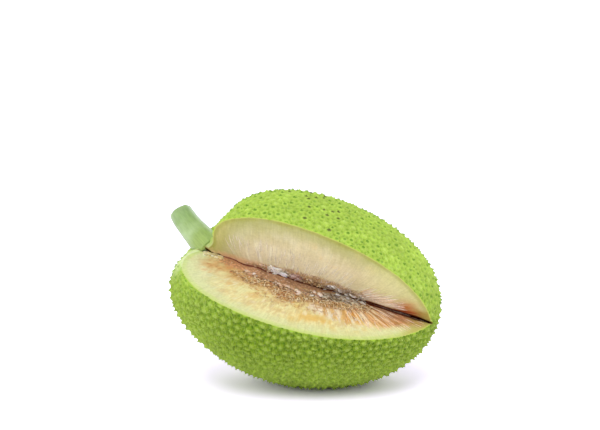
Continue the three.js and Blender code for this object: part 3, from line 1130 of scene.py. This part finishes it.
def fruit_mesh():
    """The cut fruit as one closed mesh: its skin, and the flesh of the two cut faces.

    Returns the mesh, how many of its faces are skin, and the two rims.
    """
    skin = cut_open(*skin_mesh())
    points = np.array([vert.co for vert in skin.verts])
    layers = skin.verts.layers.float.items()
    values = {name: np.array([vert[layer] for vert in skin.verts]) for name, layer in layers}
    faces = [[vert.index for vert in face.verts] for face in skin.faces]
    chains = rims(skin)
    skin.free()

    fruit = Mesh(points, faces, values)
    skin_count = len(faces)
    on_core = column_places()
    core_ids = None
    for face, chain in zip(FACES, chains):
        rim = points[chain]
        face.lay_out(rim, on_core)
        ids = np.zeros((COLUMNS, ROWS + 1), int)
        first_row = 0 if core_ids is None else 1
        inner = (slice(1, -1), slice(first_row, None))
        fresh = {
            name: value[inner].reshape(-1, *value.shape[2:]) for name, value in face.values.items()
        }
        added = fruit.add_points(face.grid[inner].reshape(-1, 3), fresh)
        ids[inner] = added.reshape(ids[inner].shape)
        ids[0], ids[-1] = chain[0], chain[-1]
        if core_ids is None:
            core_ids = ids[:, 0]
        ids[:, 0] = core_ids
        for name, value in face.rim_values().items():
            fruit.values[name][chain] = value
        fruit.faces += facing(grid_faces(ids), fruit.points, face.normal)
        band = zipped(ids[:, -1].tolist(), chain, face.on_rim, shares_along(rim))
        fruit.faces += facing(band, fruit.points, face.normal)
    return fruit, skin_count, chains


# ---- What is torn beside the core ------------------------------------------------


def shade_mix(rng, count, shades):
    """A random colour for each of so many things, between two of the shades."""
    choices = np.array([colour(shade) for shade in shades])
    first, second = choices[rng.integers(0, len(choices), (2, count))]
    return mix(first, second, rng.uniform(0, 1, count))


def ball(rounds):
    """A unit ball's points and triangles."""
    net = bmesh.new()
    bmesh.ops.create_icosphere(net, subdivisions=rounds, radius=1)
    points = np.array([vert.co for vert in net.verts])
    faces = np.array([[vert.index for vert in face.verts] for face in net.faces])
    net.free()
    return points, faces


def lumps(rng, side, count, belt, radius, stretch, shades):
    """Small uneven lumps of pulp, half sunk in a face."""
    face = FACES[side]
    ball_points, ball_faces = ball(LUMP_DETAIL)
    column, off = face.scattered(rng, count, belt)
    places = face.at(face.grid, column, off)
    turns = rng.normal(0, LUMP_TURN, count)
    first = turned(turns, CORE, np.cross(face.normal, CORE))
    second = np.cross(face.normal, first)
    sizes = mix_numbers(*radius, rng.uniform(0, 1, count) ** LUMP_SMALLER)
    longer = rng.uniform(*stretch, count)
    third = np.broadcast_to(face.normal * LUMP_FLATNESS, first.shape)
    axes = np.stack([first * longer[:, None], second, third], axis=1) * sizes[:, None, None]
    bumpy = ball_points * LUMP_BUMP_SCALE + rng.uniform(0, LUMPS_APART, (count, 1, 3))
    shapes = ball_points * (1 + LUMP_BUMPS * smooth_noise(bumpy, seed=91))[..., None]
    lifted = places + face.normal * (rng.uniform(*LUMP_SINK, count) * sizes)[:, None]
    points = lifted[:, None] + np.einsum("nvk,nkd->nvd", shapes, axes)
    faces = ball_faces + len(ball_points) * np.arange(count)[:, None, None]
    under = face.at(face.values["tint"], column, off)
    tints = mix(under, shade_mix(rng, count, shades), LUMP_OWN_TINT)
    tints = np.repeat(tints, len(ball_points), axis=0)
    return points.reshape(-1, 3), faces.reshape(-1, 3).tolist(), tints


def strand_paths(rng, face, count, belt, length, turn, lift):
    """The middle lines of fibres on a face, and the columns and distances they cross."""
    column, off = face.scattered(rng, count, belt)
    here = face.at(face.grid, column, off)
    shares, _, ends = np.array(belt).T
    room = np.interp(core_places(here)[0], shares, ends) - off + STRAND_OVERHANG
    lengths = np.minimum(rng.uniform(*length, count), np.maximum(room, length[0]))[:, None]
    share = np.linspace(0, 1, STRAND_STEPS)
    angle = np.radians(rng.normal(0, turn, count))[:, None]
    curl = np.radians(rng.normal(0, STRAND_CURL * turn, count))[:, None]
    heading = angle + curl * share
    step = lengths / (STRAND_STEPS - 1)
    outwards = np.cumsum(np.cos(heading) * step, axis=1) - step
    sideways = np.cumsum(np.sin(heading) * step, axis=1) - step * np.sin(heading[:, :1])
    beside = face.at(face.grid, column + 1, off)
    spacing = np.maximum(np.linalg.norm(beside - here, axis=1), LEAST_SPACING)[:, None]
    columns = column[:, None] + sideways / spacing
    offs = np.abs(off[:, None] + outwards)
    height = rng.uniform(*lift, count)[:, None] * np.sin(math.pi * share) ** STRAND_ARCH
    paths = face.at(face.grid, columns, offs) + height[..., None] * face.normal
    return columns, offs, paths


def tubes(paths, thick, normal):
    """Round closed tubes along paths that lie on a face: their points and faces."""
    tangents = unit(np.gradient(paths, axis=1) + 1e-9)
    across = unit(np.cross(tangents, normal))
    upwards = np.cross(across, tangents)
    turns = 2 * math.pi * np.arange(STRAND_SIDES) / STRAND_SIDES
    round_about = turned(turns, upwards[:, :, None], across[:, :, None])
    rings = paths[:, :, None] + thick[..., None, None] * round_about
    points = np.concatenate([rings.reshape(len(paths), -1, 3), paths[:, (0, -1)]], axis=1)

    ids = np.arange(STRAND_STEPS * STRAND_SIDES).reshape(STRAND_STEPS, STRAND_SIDES)
    after = np.roll(ids, -1, axis=1)
    start, end = ids.size, ids.size + 1
    one = np.stack([ids[:-1], after[:-1], after[1:], ids[1:]], -1).reshape(-1, 4).tolist()
    one += [[start, b, a] for a, b in zip(ids[0], after[0])]
    one += [[end, a, b] for a, b in zip(ids[-1], after[-1])]
    firsts = points.shape[1] * np.arange(len(paths))
    faces = [[corner + first for corner in face] for first in firsts for face in one]
    return points.reshape(-1, 3), faces


def strands(rng, side, count, belt, length, radius, turn, lift, own_tint, shades):
    """Fibres that lie on a face: thin round strands that taper to both ends.

    Those beside the seam take its dark tint, which is partly painted shade.
    """
    face = FACES[side]
    columns, offs, paths = strand_paths(rng, face, count, belt, length, turn, lift)
    share = np.clip(np.linspace(0, 1, STRAND_STEPS), STRAND_BLUNTNESS, 1 - STRAND_BLUNTNESS)
    taper = np.sin(math.pi * share ** STRAND_THICKEST) ** STRAND_TAPER
    thick = rng.uniform(*radius, count)[:, None] * taper
    points, faces = tubes(paths, thick, face.normal)
    under = face.at(face.values["tint"], columns, offs)
    own = shade_mix(rng, count, shades)[:, None]
    # Fibres in the seam take its dark tint, partly painted shade.
    clear_of_seam_shade = ease(*FIBRES_IN_SEAM_SHADE, core_places(paths)[1])[..., None]
    tinted = under + (own - under) * own_tint * clear_of_seam_shade
    tints = np.concatenate([np.repeat(tinted, STRAND_SIDES, axis=1), tinted[:, (0, -1)]], axis=1)
    return points, faces, tints.reshape(-1, 3)


def gathered(make, groups):
    """One mesh of several groups of small things."""
    rng = np.random.default_rng(SEED + 2)
    mesh = Mesh(np.zeros((0, 3)), [], {})
    for group in groups:
        points, faces, tints = make(rng, *group)
        first = mesh.add_points(points, {"tint": tints})[0]
        mesh.faces += [[corner + first for corner in face] for face in faces]
    return mesh


# ---- The stem ------------------------------------------------------------------


def stem_mesh():
    """The stem as rings along its curve: faint ribs, a flared foot and a cut end."""
    shares = np.linspace(0, 1, STEM_RINGS)
    turns = np.linspace(0, 2 * math.pi, STEM_SIDES, endpoint=False)
    axis = stem_axis(shares)
    tangents = unit(np.gradient(axis, axis=0))
    sides = unit(np.cross([0, 0, 1], tangents))
    tops = np.cross(tangents, sides)
    ribs = sum(height * np.cos(count * turns + turn) for count, height, turn in STEM_RIBS)
    around, lengthwise = STEM_UNEVEN_SCALE
    rings = []
    for at, middle, side, top in zip(shares, axis, sides, tops):
        round_about = turned(turns, top, side)
        uneven = STEM_UNEVEN * smooth_noise(round_about * around + at * lengthwise, seed=61)
        flare = STEM_FLARE * bell((at - STEM_FLARE_AT) / STEM_FLARE_SPREAD)
        outwards = mix_numbers(STEM_BASE_RADIUS, STEM_TIP_RADIUS, at) + ribs + uneven + flare
        rings.append(middle + round_about * outwards[:, None])
    # The cut end: a rounded edge, a rim, and a slightly hollow middle.
    end, across = axis[-1], rings[-1] - axis[-1]
    tangent = tangents[-1]
    for share, sink in STEM_END_RINGS:
        rings.append(end + across * share - tangent * sink)
    start_hub, end_hub = axis[0], end - tangent * STEM_END_RINGS[-1][1]
    points = np.concatenate(rings + [start_hub[None], end_hub[None]])
    ids = np.arange(len(rings) * STEM_SIDES).reshape(len(rings), STEM_SIDES)
    wrapped = np.concatenate([ids, ids[:, :1]], axis=1)
    faces = grid_faces(wrapped)
    hubs = len(points) - 2
    faces += [[hubs, ids[0, i - 1], ids[0, i]] for i in range(STEM_SIDES)]
    faces += [[hubs + 1, ids[-1, i], ids[-1, i - 1]] for i in range(STEM_SIDES)]
    ring_share = np.concatenate([shares, np.ones(len(STEM_END_RINGS))])
    on_end = np.concatenate([np.zeros(STEM_RINGS), 1 - np.array(STEM_END_RINGS)[:, 0]])
    values = {
        "along": np.append(np.repeat(ring_share, STEM_SIDES), (0, 1)),
        "inwards": np.append(np.repeat(on_end, STEM_SIDES), (0, 1)),
        "around": np.append(np.tile(turns, len(rings)), (0, 0)),
    }
    return points, faces, values


# ---- Materials -----------------------------------------------------------------


class Paint:
    """A procedural material, and short ways to add and join its nodes."""

    def __init__(self, name):
        self.material = bpy.data.materials.new(name)
        self.material.use_nodes = True
        self.tree = self.material.node_tree
        self.shader = self.tree.nodes["Principled BSDF"]

    def node(self, kind, inputs=None, **settings):
        """A new node with these settings, and with these inputs set or joined."""
        made = self.tree.nodes.new("ShaderNode" + kind)
        for name, value in settings.items():
            setattr(made, name, value)
        for socket, value in (inputs or {}).items():
            self.join(value, made.inputs[socket])
        return made

    def join(self, value, socket):
        """Links a socket to another one, or sets its value."""
        if isinstance(value, bpy.types.NodeSocket):
            self.tree.links.new(value, socket)
        elif value is not None:
            socket.default_value = value

    def set(self, **inputs):
        """Sets or joins inputs of the shader, named with underscores for spaces."""
        for name, value in inputs.items():
            self.join(value, self.shader.inputs[name.replace("_", " ")])

    def value(self, attribute, kind="Fac"):
        """A number that the mesh has at each point, or its "Color" or "Vector"."""
        return self.node("Attribute", attribute_name=attribute).outputs[kind]

    def place(self):
        """Where a point is, in metres."""
        return self.node("TexCoord").outputs["Object"]

    def stretched(self, vector, scale):
        """The vector with each of its numbers scaled."""
        return self.node("Mapping", {"Vector": vector, "Scale": scale}).outputs["Vector"]

    def noise(self, vector, scale, detail, roughness=0.5):
        """A cloudy number, from about 0.3 to 0.7."""
        inputs = {"Vector": vector, "Scale": scale, "Detail": detail, "Roughness": roughness}
        return self.node("TexNoise", inputs).outputs["Fac"]

    def math(self, operation, first, second=None):
        """The result of an operation on one or two numbers."""
        return self.node("Math", {0: first, 1: second}, operation=operation).outputs["Value"]

    def times(self, *values):
        """Numbers multiplied together."""
        return functools.reduce(lambda first, second: self.math("MULTIPLY", first, second), values)

    def span(self, value, low, high, to_low=0.0, to_high=1.0):
        """The value moved from one range to another, with a smooth change."""
        inputs = {"Value": value, "From Min": low, "From Max": high, "To Min": to_low, "To Max": to_high}
        return self.node("MapRange", inputs, interpolation_type="SMOOTHSTEP").outputs["Result"]

    def lines(self, value, width):
        """Thin lines, 1 in their middle, where the value passes its half-way mark."""
        from_middle = self.math("ABSOLUTE", self.math("SUBTRACT", value, 0.5))
        return self.span(from_middle, 0.0, width, 1.0, 0.0)

    def ramp(self, value, stops):
        """A colour from those of the stops, by the value."""
        made = self.node("ValToRGB", {"Fac": value})
        elements = made.color_ramp.elements
        while len(elements) < len(stops):
            elements.new(1.0)
        for element, (position, shade) in zip(elements, stops):
            element.position = position
            element.color = flat(shade)
        return made.outputs["Color"]

    def mix(self, first, second, share, blend="MIX"):
        """Two colours mixed, with this share of the second one."""
        inputs = {("Factor", "VALUE"): share, ("A", "RGBA"): first, ("B", "RGBA"): second}
        made = self.node("Mix", data_type="RGBA", blend_type=blend)
        for socket in made.inputs:
            self.join(inputs.get((socket.name, socket.type)), socket)
        return next(out for out in made.outputs if out.type == "RGBA")

    def varied(self, tint, noise, dark, light, share=1.0, spread=0.2):
        """A tint darkened and lightened by this much, as the noise goes about its middle."""
        factor = self.span(noise, 0.5 - spread, 0.5 + spread, dark, light)
        return self.mix(tint, factor, share, "MULTIPLY")

    def bump(self, height, distance, strength, normal=None):
        """The surface's direction with bumps added to it."""
        inputs = {"Height": height, "Distance": distance, "Strength": strength, "Normal": normal}
        return self.node("Bump", inputs).outputs["Normal"]


def flat(shade):
    """A six-digit colour as a socket's value."""
    return (*colour(shade), 1)


def skin_material():
    """The felted skin: pits and valleys darkened as painted shade, pale domes and dark tips, paler on
    top as bleaching and painted light.
    """
    paint = Paint("breadfruit_skin")
    knob, lit_and_bleached, dark, crisp = map(paint.value, ("knob", "lit_and_bleached", "dark", "crisp"))
    place = paint.place()
    felt = paint.noise(paint.stretched(place, (1, 1, 0.45)), 1100, 3, 0.6)
    hairs = paint.lines(paint.noise(paint.stretched(place, (1, 1, 0.5)), 420, 2, 0.55), 0.035)

    # The skin painted as in shade, turning to painted light and bleaching on top.
    tint = paint.mix(paint.ramp(knob, SHADED_SKIN), paint.ramp(knob, LIT_AND_BLEACHED_SKIN), lit_and_bleached)
    # The pits where three knobs meet are darkened as painted shade.
    pit = paint.times(paint.span(paint.value("pit"), 0.3, 0.85), crisp)
    tint = paint.mix(tint, paint.mix(flat("3E6A08"), flat("84A834"), lit_and_bleached), pit)
    tint = paint.varied(tint, paint.value("shade"), 0.95, 1.05, spread=0.5)
    tint = paint.varied(tint, paint.noise(place, 60, 3), 0.93, 1.05)
    tint = paint.varied(tint, felt, 0.76, 1.24, paint.span(lit_and_bleached, 0, 1, 1.0, 0.45), spread=0.14)
    wisps = paint.times(hairs, paint.span(lit_and_bleached, 0, 1, 0.7, 0.3))
    tint = paint.mix(tint, paint.mix(flat("98B44C"), flat("C0D678"), lit_and_bleached), wisps)
    by_stem = paint.span(paint.value("growth"), 0.7, 0.0, 0.0, 0.85)
    tint = paint.mix(tint, flat("B0C85C"), by_stem)
    tint = paint.mix(tint, flat("D0DDA6"), paint.span(paint.value("pale"), 0.2, 0.9, 0.0, 0.8))

    on_tip = paint.span(paint.math("ADD", knob, paint.times(felt, 0.3)), 0.68, 0.93)
    tint = paint.mix(tint, flat("B9D26C"), paint.times(on_tip, crisp, 0.4))
    tip_shade = paint.mix(flat("4C7C10"), flat("2C2A12"), paint.span(dark, 0.8, 1.0))
    tint = paint.mix(tint, tip_shade, paint.times(on_tip, paint.span(dark, 0.0, 0.75, 0.0, 0.8)))

    normal = paint.bump(felt, 0.0008, paint.span(lit_and_bleached, 0, 1, 0.8, 0.4))
    normal = paint.bump(hairs, 0.0006, paint.span(lit_and_bleached, 0, 1, 0.7, 0.4), normal)
    paint.set(
        Base_Color=tint, Normal=normal, Roughness=0.8,
        Subsurface_Weight=0.1, Subsurface_Radius=(0.6, 1.0, 0.2), Subsurface_Scale=0.001,
        Specular_IOR_Level=0.12,
        Sheen_Weight=0.3, Sheen_Roughness=0.5, Sheen_Tint=flat("C4E668"),
    )
    return paint.material


def beaded(paint, tint, place, pulp):
    """Torn pulp, as small wet beads with painted light and shade, some with pale middles: tint and
    height.
    """
    beads = paint.node("TexVoronoi", {"Vector": place, "Scale": 560.0}).outputs
    off_middle = beads["Distance"]
    # The beads' middles are painted lighter and the gaps between them darker: painted light and shade.
    tint = paint.mix(tint, paint.span(off_middle, 0.2, 0.65, 1.3, 0.5), pulp, "MULTIPLY")
    pick = paint.node("SeparateColor", {"Color": beads["Color"]}).outputs["Red"]
    # Pale middles on some beads: pale pulp with a painted glint.
    pale = paint.times(paint.span(pick, 0.7, 0.9), paint.span(off_middle, 0.5, 0.25), pulp, 0.75)
    height = paint.times(paint.span(off_middle, 0.7, 0.0), pulp)
    return paint.mix(tint, flat("E9DFD2"), pale), height


def crooked_hairs(paint, place, fibre):
    """A noise of hairs that roughly follow the fibres."""
    bends = paint.node("TexNoise", {"Vector": place, "Scale": 260.0, "Detail": 2.0}).outputs["Color"]
    by = paint.node("VectorMath", {0: bends, 1: (5.0, 5.0, 0.0)}, operation="MULTIPLY")
    bent = paint.node("VectorMath", {0: fibre, 1: by.outputs["Vector"]}, operation="ADD")
    return paint.noise(paint.stretched(bent.outputs["Vector"], (1.5, 0.3, 1)), 1.0, 3, 0.65)


def flesh_material():
    """The cut flesh: fine fibres, wet torn pulp, belts of hairs, and a green rim."""
    paint = Paint("breadfruit_flesh")
    place, fibre = paint.place(), paint.value("fibre", "Vector")
    pulp, fuzz, far = map(paint.value, ("pulp", "fuzz", "far"))
    fine = paint.noise(paint.stretched(fibre, (1.5, 0.07, 1)), 1.0, 3)
    grain = paint.noise(place, 700, 3)
    hairs = crooked_hairs(paint, place, fibre)
    threads = paint.noise(paint.stretched(fibre, (1.9, 0.03, 1)), 1.0, 3, 0.6)

    tint = paint.varied(paint.value("tint", "Color"), fine, 0.94, 1.05)
    tint = paint.varied(tint, grain, 0.94, 1.05)
    tint, bead_height = beaded(paint, tint, place, pulp)
    tint = paint.varied(tint, hairs, 0.66, 1.36, fuzz, spread=0.18)
    tint = paint.varied(tint, threads, 0.62, 1.35, far, spread=0.15)

    # The skin's edge is a green band in two steps, which is pale where the skin is.
    wander = paint.times(paint.noise(place, 160, 2), 1.2)
    uneven_depth = paint.math("ADD", paint.value("depth"), wander)
    bleached = paint.span(paint.value("pale"), 0.2, 0.8)
    inner_rim = paint.mix(flat("B7C560"), flat("D4DFB0"), bleached)
    tint = paint.mix(inner_rim, tint, paint.span(uneven_depth, 3.0, 4.4))
    outer_rim = paint.mix(flat("93BC34"), flat("CDDBA0"), bleached)
    tint = paint.mix(outer_rim, tint, paint.span(uneven_depth, 2.4, 3.4))

    roughness = paint.math(
        "ADD", paint.span(pulp, 0, 1, 0.55, 0.3), paint.times(paint.value("gap"), 0.4)
    )
    normal = paint.bump(fine, 0.0003, 0.5)
    normal = paint.bump(grain, 0.0002, 0.6, normal)
    normal = paint.bump(bead_height, 0.0008, 0.7, normal)
    normal = paint.bump(paint.times(hairs, fuzz), 0.0006, 0.6, normal)
    paint.set(
        Base_Color=tint, Normal=normal, Roughness=roughness,
        Subsurface_Weight=0.25, Subsurface_Radius=(1.0, 0.8, 0.4), Subsurface_Scale=0.0015,
        Specular_IOR_Level=0.15,
    )
    return paint.material


def gap_material():
    """The matt dark flesh deep in the gap between the faces, its brown darkened as painted shade."""
    paint = Paint("breadfruit_gap")
    tint = paint.varied(paint.value("tint", "Color"), paint.noise(paint.place(), 700, 3), 0.85, 1.1)
    paint.set(Base_Color=tint, Roughness=0.9, Specular_IOR_Level=0.0)
    return paint.material


def torn_material(name, roughness, subsurface):
    """What lies loose on the flesh: wet lumps or dry fibres, each in its own tint."""
    paint = Paint(name)
    grain = paint.noise(paint.place(), 900, 3)
    tint = paint.varied(paint.value("tint", "Color"), grain, 0.8, 1.12)
    paint.set(
        Base_Color=tint, Normal=paint.bump(grain, 0.0002, 0.5), Roughness=roughness,
        Subsurface_Weight=subsurface, Subsurface_Radius=(1.0, 0.8, 0.5), Subsurface_Scale=0.0012,
        Specular_IOR_Level=0.5,
    )
    return paint.material


def stem_material():
    """The stem: grey-green and faintly streaked, with a pale painted highlight and a pale cut end."""
    paint = Paint("breadfruit_stem")
    along, inwards = map(paint.value, ("along", "inwards"))
    streaks = paint.noise(paint.stretched(paint.value("grain", "Vector"), (2.2, 0.25, 1)), 1.0, 3)
    body = paint.varied(paint.ramp(along, STEM_BODY), streaks, 0.86, 1.1)
    clouds = paint.span(paint.noise(paint.place(), 60, 3), 0.4, 0.75, 0.0, 0.5)
    body = paint.mix(body, flat("B4CB9C"), clouds)
    # A pale painted highlight down one side.
    body = paint.mix(body, flat("BCD0B4"), paint.times(paint.value("painted_highlight"), 0.7))
    tint = paint.mix(body, paint.ramp(inwards, STEM_END), paint.span(inwards, 0.02, 0.1))
    paint.set(
        Base_Color=tint, Normal=paint.bump(streaks, 0.0002, 0.7), Roughness=0.42,
        Subsurface_Weight=0.15, Subsurface_Radius=(0.7, 1.0, 0.4), Subsurface_Scale=0.0015,
        Specular_IOR_Level=0.4,
    )
    return paint.material


# ---- Pieces --------------------------------------------------------------------

ATTRIBUTE_KINDS = {1: ("FLOAT", "value"), 3: ("FLOAT_VECTOR", "vector"), 4: ("FLOAT_COLOR", "color")}


def added(name, data):
    """A new object in the scene."""
    made = bpy.data.objects.new(name, data)
    bpy.context.scene.collection.objects.link(made)
    return made


def piece(name, points, faces, values, materials):
    """A smooth mesh in the part's frame, riding on the part's one body."""
    mesh = bpy.data.meshes.new(name)
    mesh.from_pydata((points + CENTRE) * MM, [], faces)
    for key, numbers in values.items():
        numbers = np.asarray(numbers, np.float32)
        kind, field = ATTRIBUTE_KINDS[1 if numbers.ndim == 1 else numbers.shape[1]]
        mesh.attributes.new(key, kind, "POINT").data.foreach_set(field, numbers.ravel())
    mesh.polygons.foreach_set("use_smooth", np.ones(len(mesh.polygons), bool))
    for material in materials:
        mesh.materials.append(material)
    made = added(name, mesh)
    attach(made, "root")
    return made


def sharpen(mesh, chains):
    """Marks the edges along chains of points as sharp."""
    ends = np.empty(2 * len(mesh.edges), int)
    mesh.edges.foreach_get("vertices", ends)
    ends = np.sort(ends.reshape(-1, 2), axis=1)
    links = np.concatenate([np.stack([chain[:-1], chain[1:]], 1) for chain in chains])
    links = np.sort(links, axis=1)
    keys, wanted = (pairs[:, 0] * len(mesh.vertices) + pairs[:, 1] for pairs in (ends, links))
    sharp = mesh.attributes.new("sharp_edge", "BOOLEAN", "EDGE")
    sharp.data.foreach_set("value", np.isin(keys, wanted))


def lit_and_bleached_at(points):
    """How pale the skin is: pale on top, bleached and painted as lit, deep green lower down as painted
    shade.
    """
    cloud_width, cloud_shift = SUN_CLOUDS
    shift = cloud_shift * cloudy_noise(points / cloud_width, seed=71)
    above = ease(*SUN_BETWEEN, points @ SUN_LEAN + shift)
    low_down = PAINTED_LIGHT_LOW_DOWN * ease(*LOW_DOWN, -points[:, 2])
    by_stem = PAINTED_LIGHT_BY_STEM * ease(*STEM_SIDE, -points[:, 0])
    return np.clip(above + low_down + by_stem, 0, 1)


def with_alpha(tints):
    """Colours with a fourth number, as the mesh stores them."""
    return np.concatenate([tints, np.ones((len(tints), 1))], axis=1)


def build_fruit():
    """The fruit: skin, flesh and the dark gap, as one mesh."""
    fruit, skin_count, chains = fruit_mesh()
    values = fruit.values
    values["lit_and_bleached"] = lit_and_bleached_at(fruit.points)
    values["dark"] = values["dark"] * ease(*SUN_ON_TIPS, values["lit_and_bleached"])
    values["depth"] = depth_below_tips(fruit.points)
    values["pale"] = bell(np.linalg.norm(fruit.points - PALE_AT, axis=1) / PALE_REACH)
    below_cut = -above_faces(fruit.points)[0]
    values["crisp"] = mix_numbers(*CRISPNESS, ease(*CRISP_BELOW, below_cut))
    values["tint"] = with_alpha(values["tint"])
    materials = [skin_material(), flesh_material(), gap_material()]
    made = piece("fruit_look", fruit.points, fruit.faces, values, materials)
    in_gap = np.array([values["gap"][face].mean() > GAP_EDGE for face in fruit.faces])
    is_flesh = np.arange(len(fruit.faces)) >= skin_count
    made.data.polygons.foreach_set("material_index", np.where(is_flesh, 1 + in_gap, 0))
    sharpen(made.data, chains)
    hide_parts("fruit")


def build_torn_core():
    """The lumps and fibres that lie on the flesh, as one mesh each."""
    for name, make, groups, roughness, subsurface in (
        ("core_lumps", lumps, LUMP_GROUPS, 0.25, 0.4),
        ("core_fibres", strands, STRAND_GROUPS, 0.45, 0.0),
    ):
        mesh = gathered(make, groups)
        values = {"tint": with_alpha(mesh.values["tint"])}
        material = torn_material("breadfruit_" + name, roughness, subsurface)
        piece(name, mesh.points, mesh.faces, values, [material])


def build_stem():
    """The stem, with a painted highlight on one side and its grain running along it."""
    points, faces, values = stem_mesh()
    cosines, sines = np.cos(values["around"]), np.sin(values["around"])
    lengthwise = values["along"] * STEM_GRAIN_LENGTH
    values["grain"] = np.column_stack(
        [cosines * STEM_BASE_RADIUS, lengthwise, sines * STEM_BASE_RADIUS]
    )
    facing_highlight = np.column_stack([cosines, sines]) @ STEM_HIGHLIGHT_TOWARDS
    values["painted_highlight"] = ease(*STEM_HIGHLIGHT_EDGE, facing_highlight)
    stem = piece("stem_look", points, faces, values, [stem_material()])
    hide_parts("stem")


# ---- Floor, lights and camera ----------------------------------------------------


def build_stage():
    """The floor, and an even white sky all round."""
    bpy.ops.mesh.primitive_circle_add(vertices=FLOOR_SIDES, radius=FLOOR_RADIUS, fill_type="NGON")
    floor = bpy.context.object
    floor.name = "floor"
    paint = Paint("floor")
    paint.set(Base_Color=FLOOR_TINT, Roughness=0.8, Specular_IOR_Level=0.0)
    floor.data.materials.append(paint.material)

    world = bpy.data.worlds.new("studio")
    bpy.context.scene.world = world
    world.use_nodes = True
    nodes, links = world.node_tree.nodes, world.node_tree.links
    nodes["Background"].inputs["Color"].default_value = (1, 1, 1, 1)
    # The backdrop is seen as white, and lights the fruit less than that.
    seen = nodes.new("ShaderNodeLightPath")
    strength = nodes.new("ShaderNodeMapRange")
    strength.inputs["To Min"].default_value = WORLD_STRENGTH
    links.new(seen.outputs["Is Camera Ray"], strength.inputs["Value"])
    links.new(strength.outputs["Result"], nodes["Background"].inputs["Strength"])


def soft_light(name, source, strength, size):
    """A soft light that comes from a wide patch of the sky, the same everywhere."""
    light = bpy.data.lights.new(name, "SUN")
    light.energy = strength
    light.angle = math.radians(size)
    made = added(name, light)
    made.rotation_euler = Vector(source).to_track_quat("Z", "Y").to_euler()


def build_camera():
    """A camera a little above the fruit, in front of it and level."""
    camera = bpy.data.cameras.new("camera")
    camera.lens = LENS
    made = added("camera", camera)
    made.location = Vector((CENTRE + CAMERA_OFFSET) * MM)
    made.rotation_euler = (math.radians(90 - CAMERA_DIP), 0, 0)
    bpy.context.scene.camera = made


build_camera()
build_stage()
for settings in LIGHTS:
    soft_light(*settings)
build_fruit()
build_torn_core()
build_stem()
bpy.context.scene.view_settings.view_transform = "Standard"
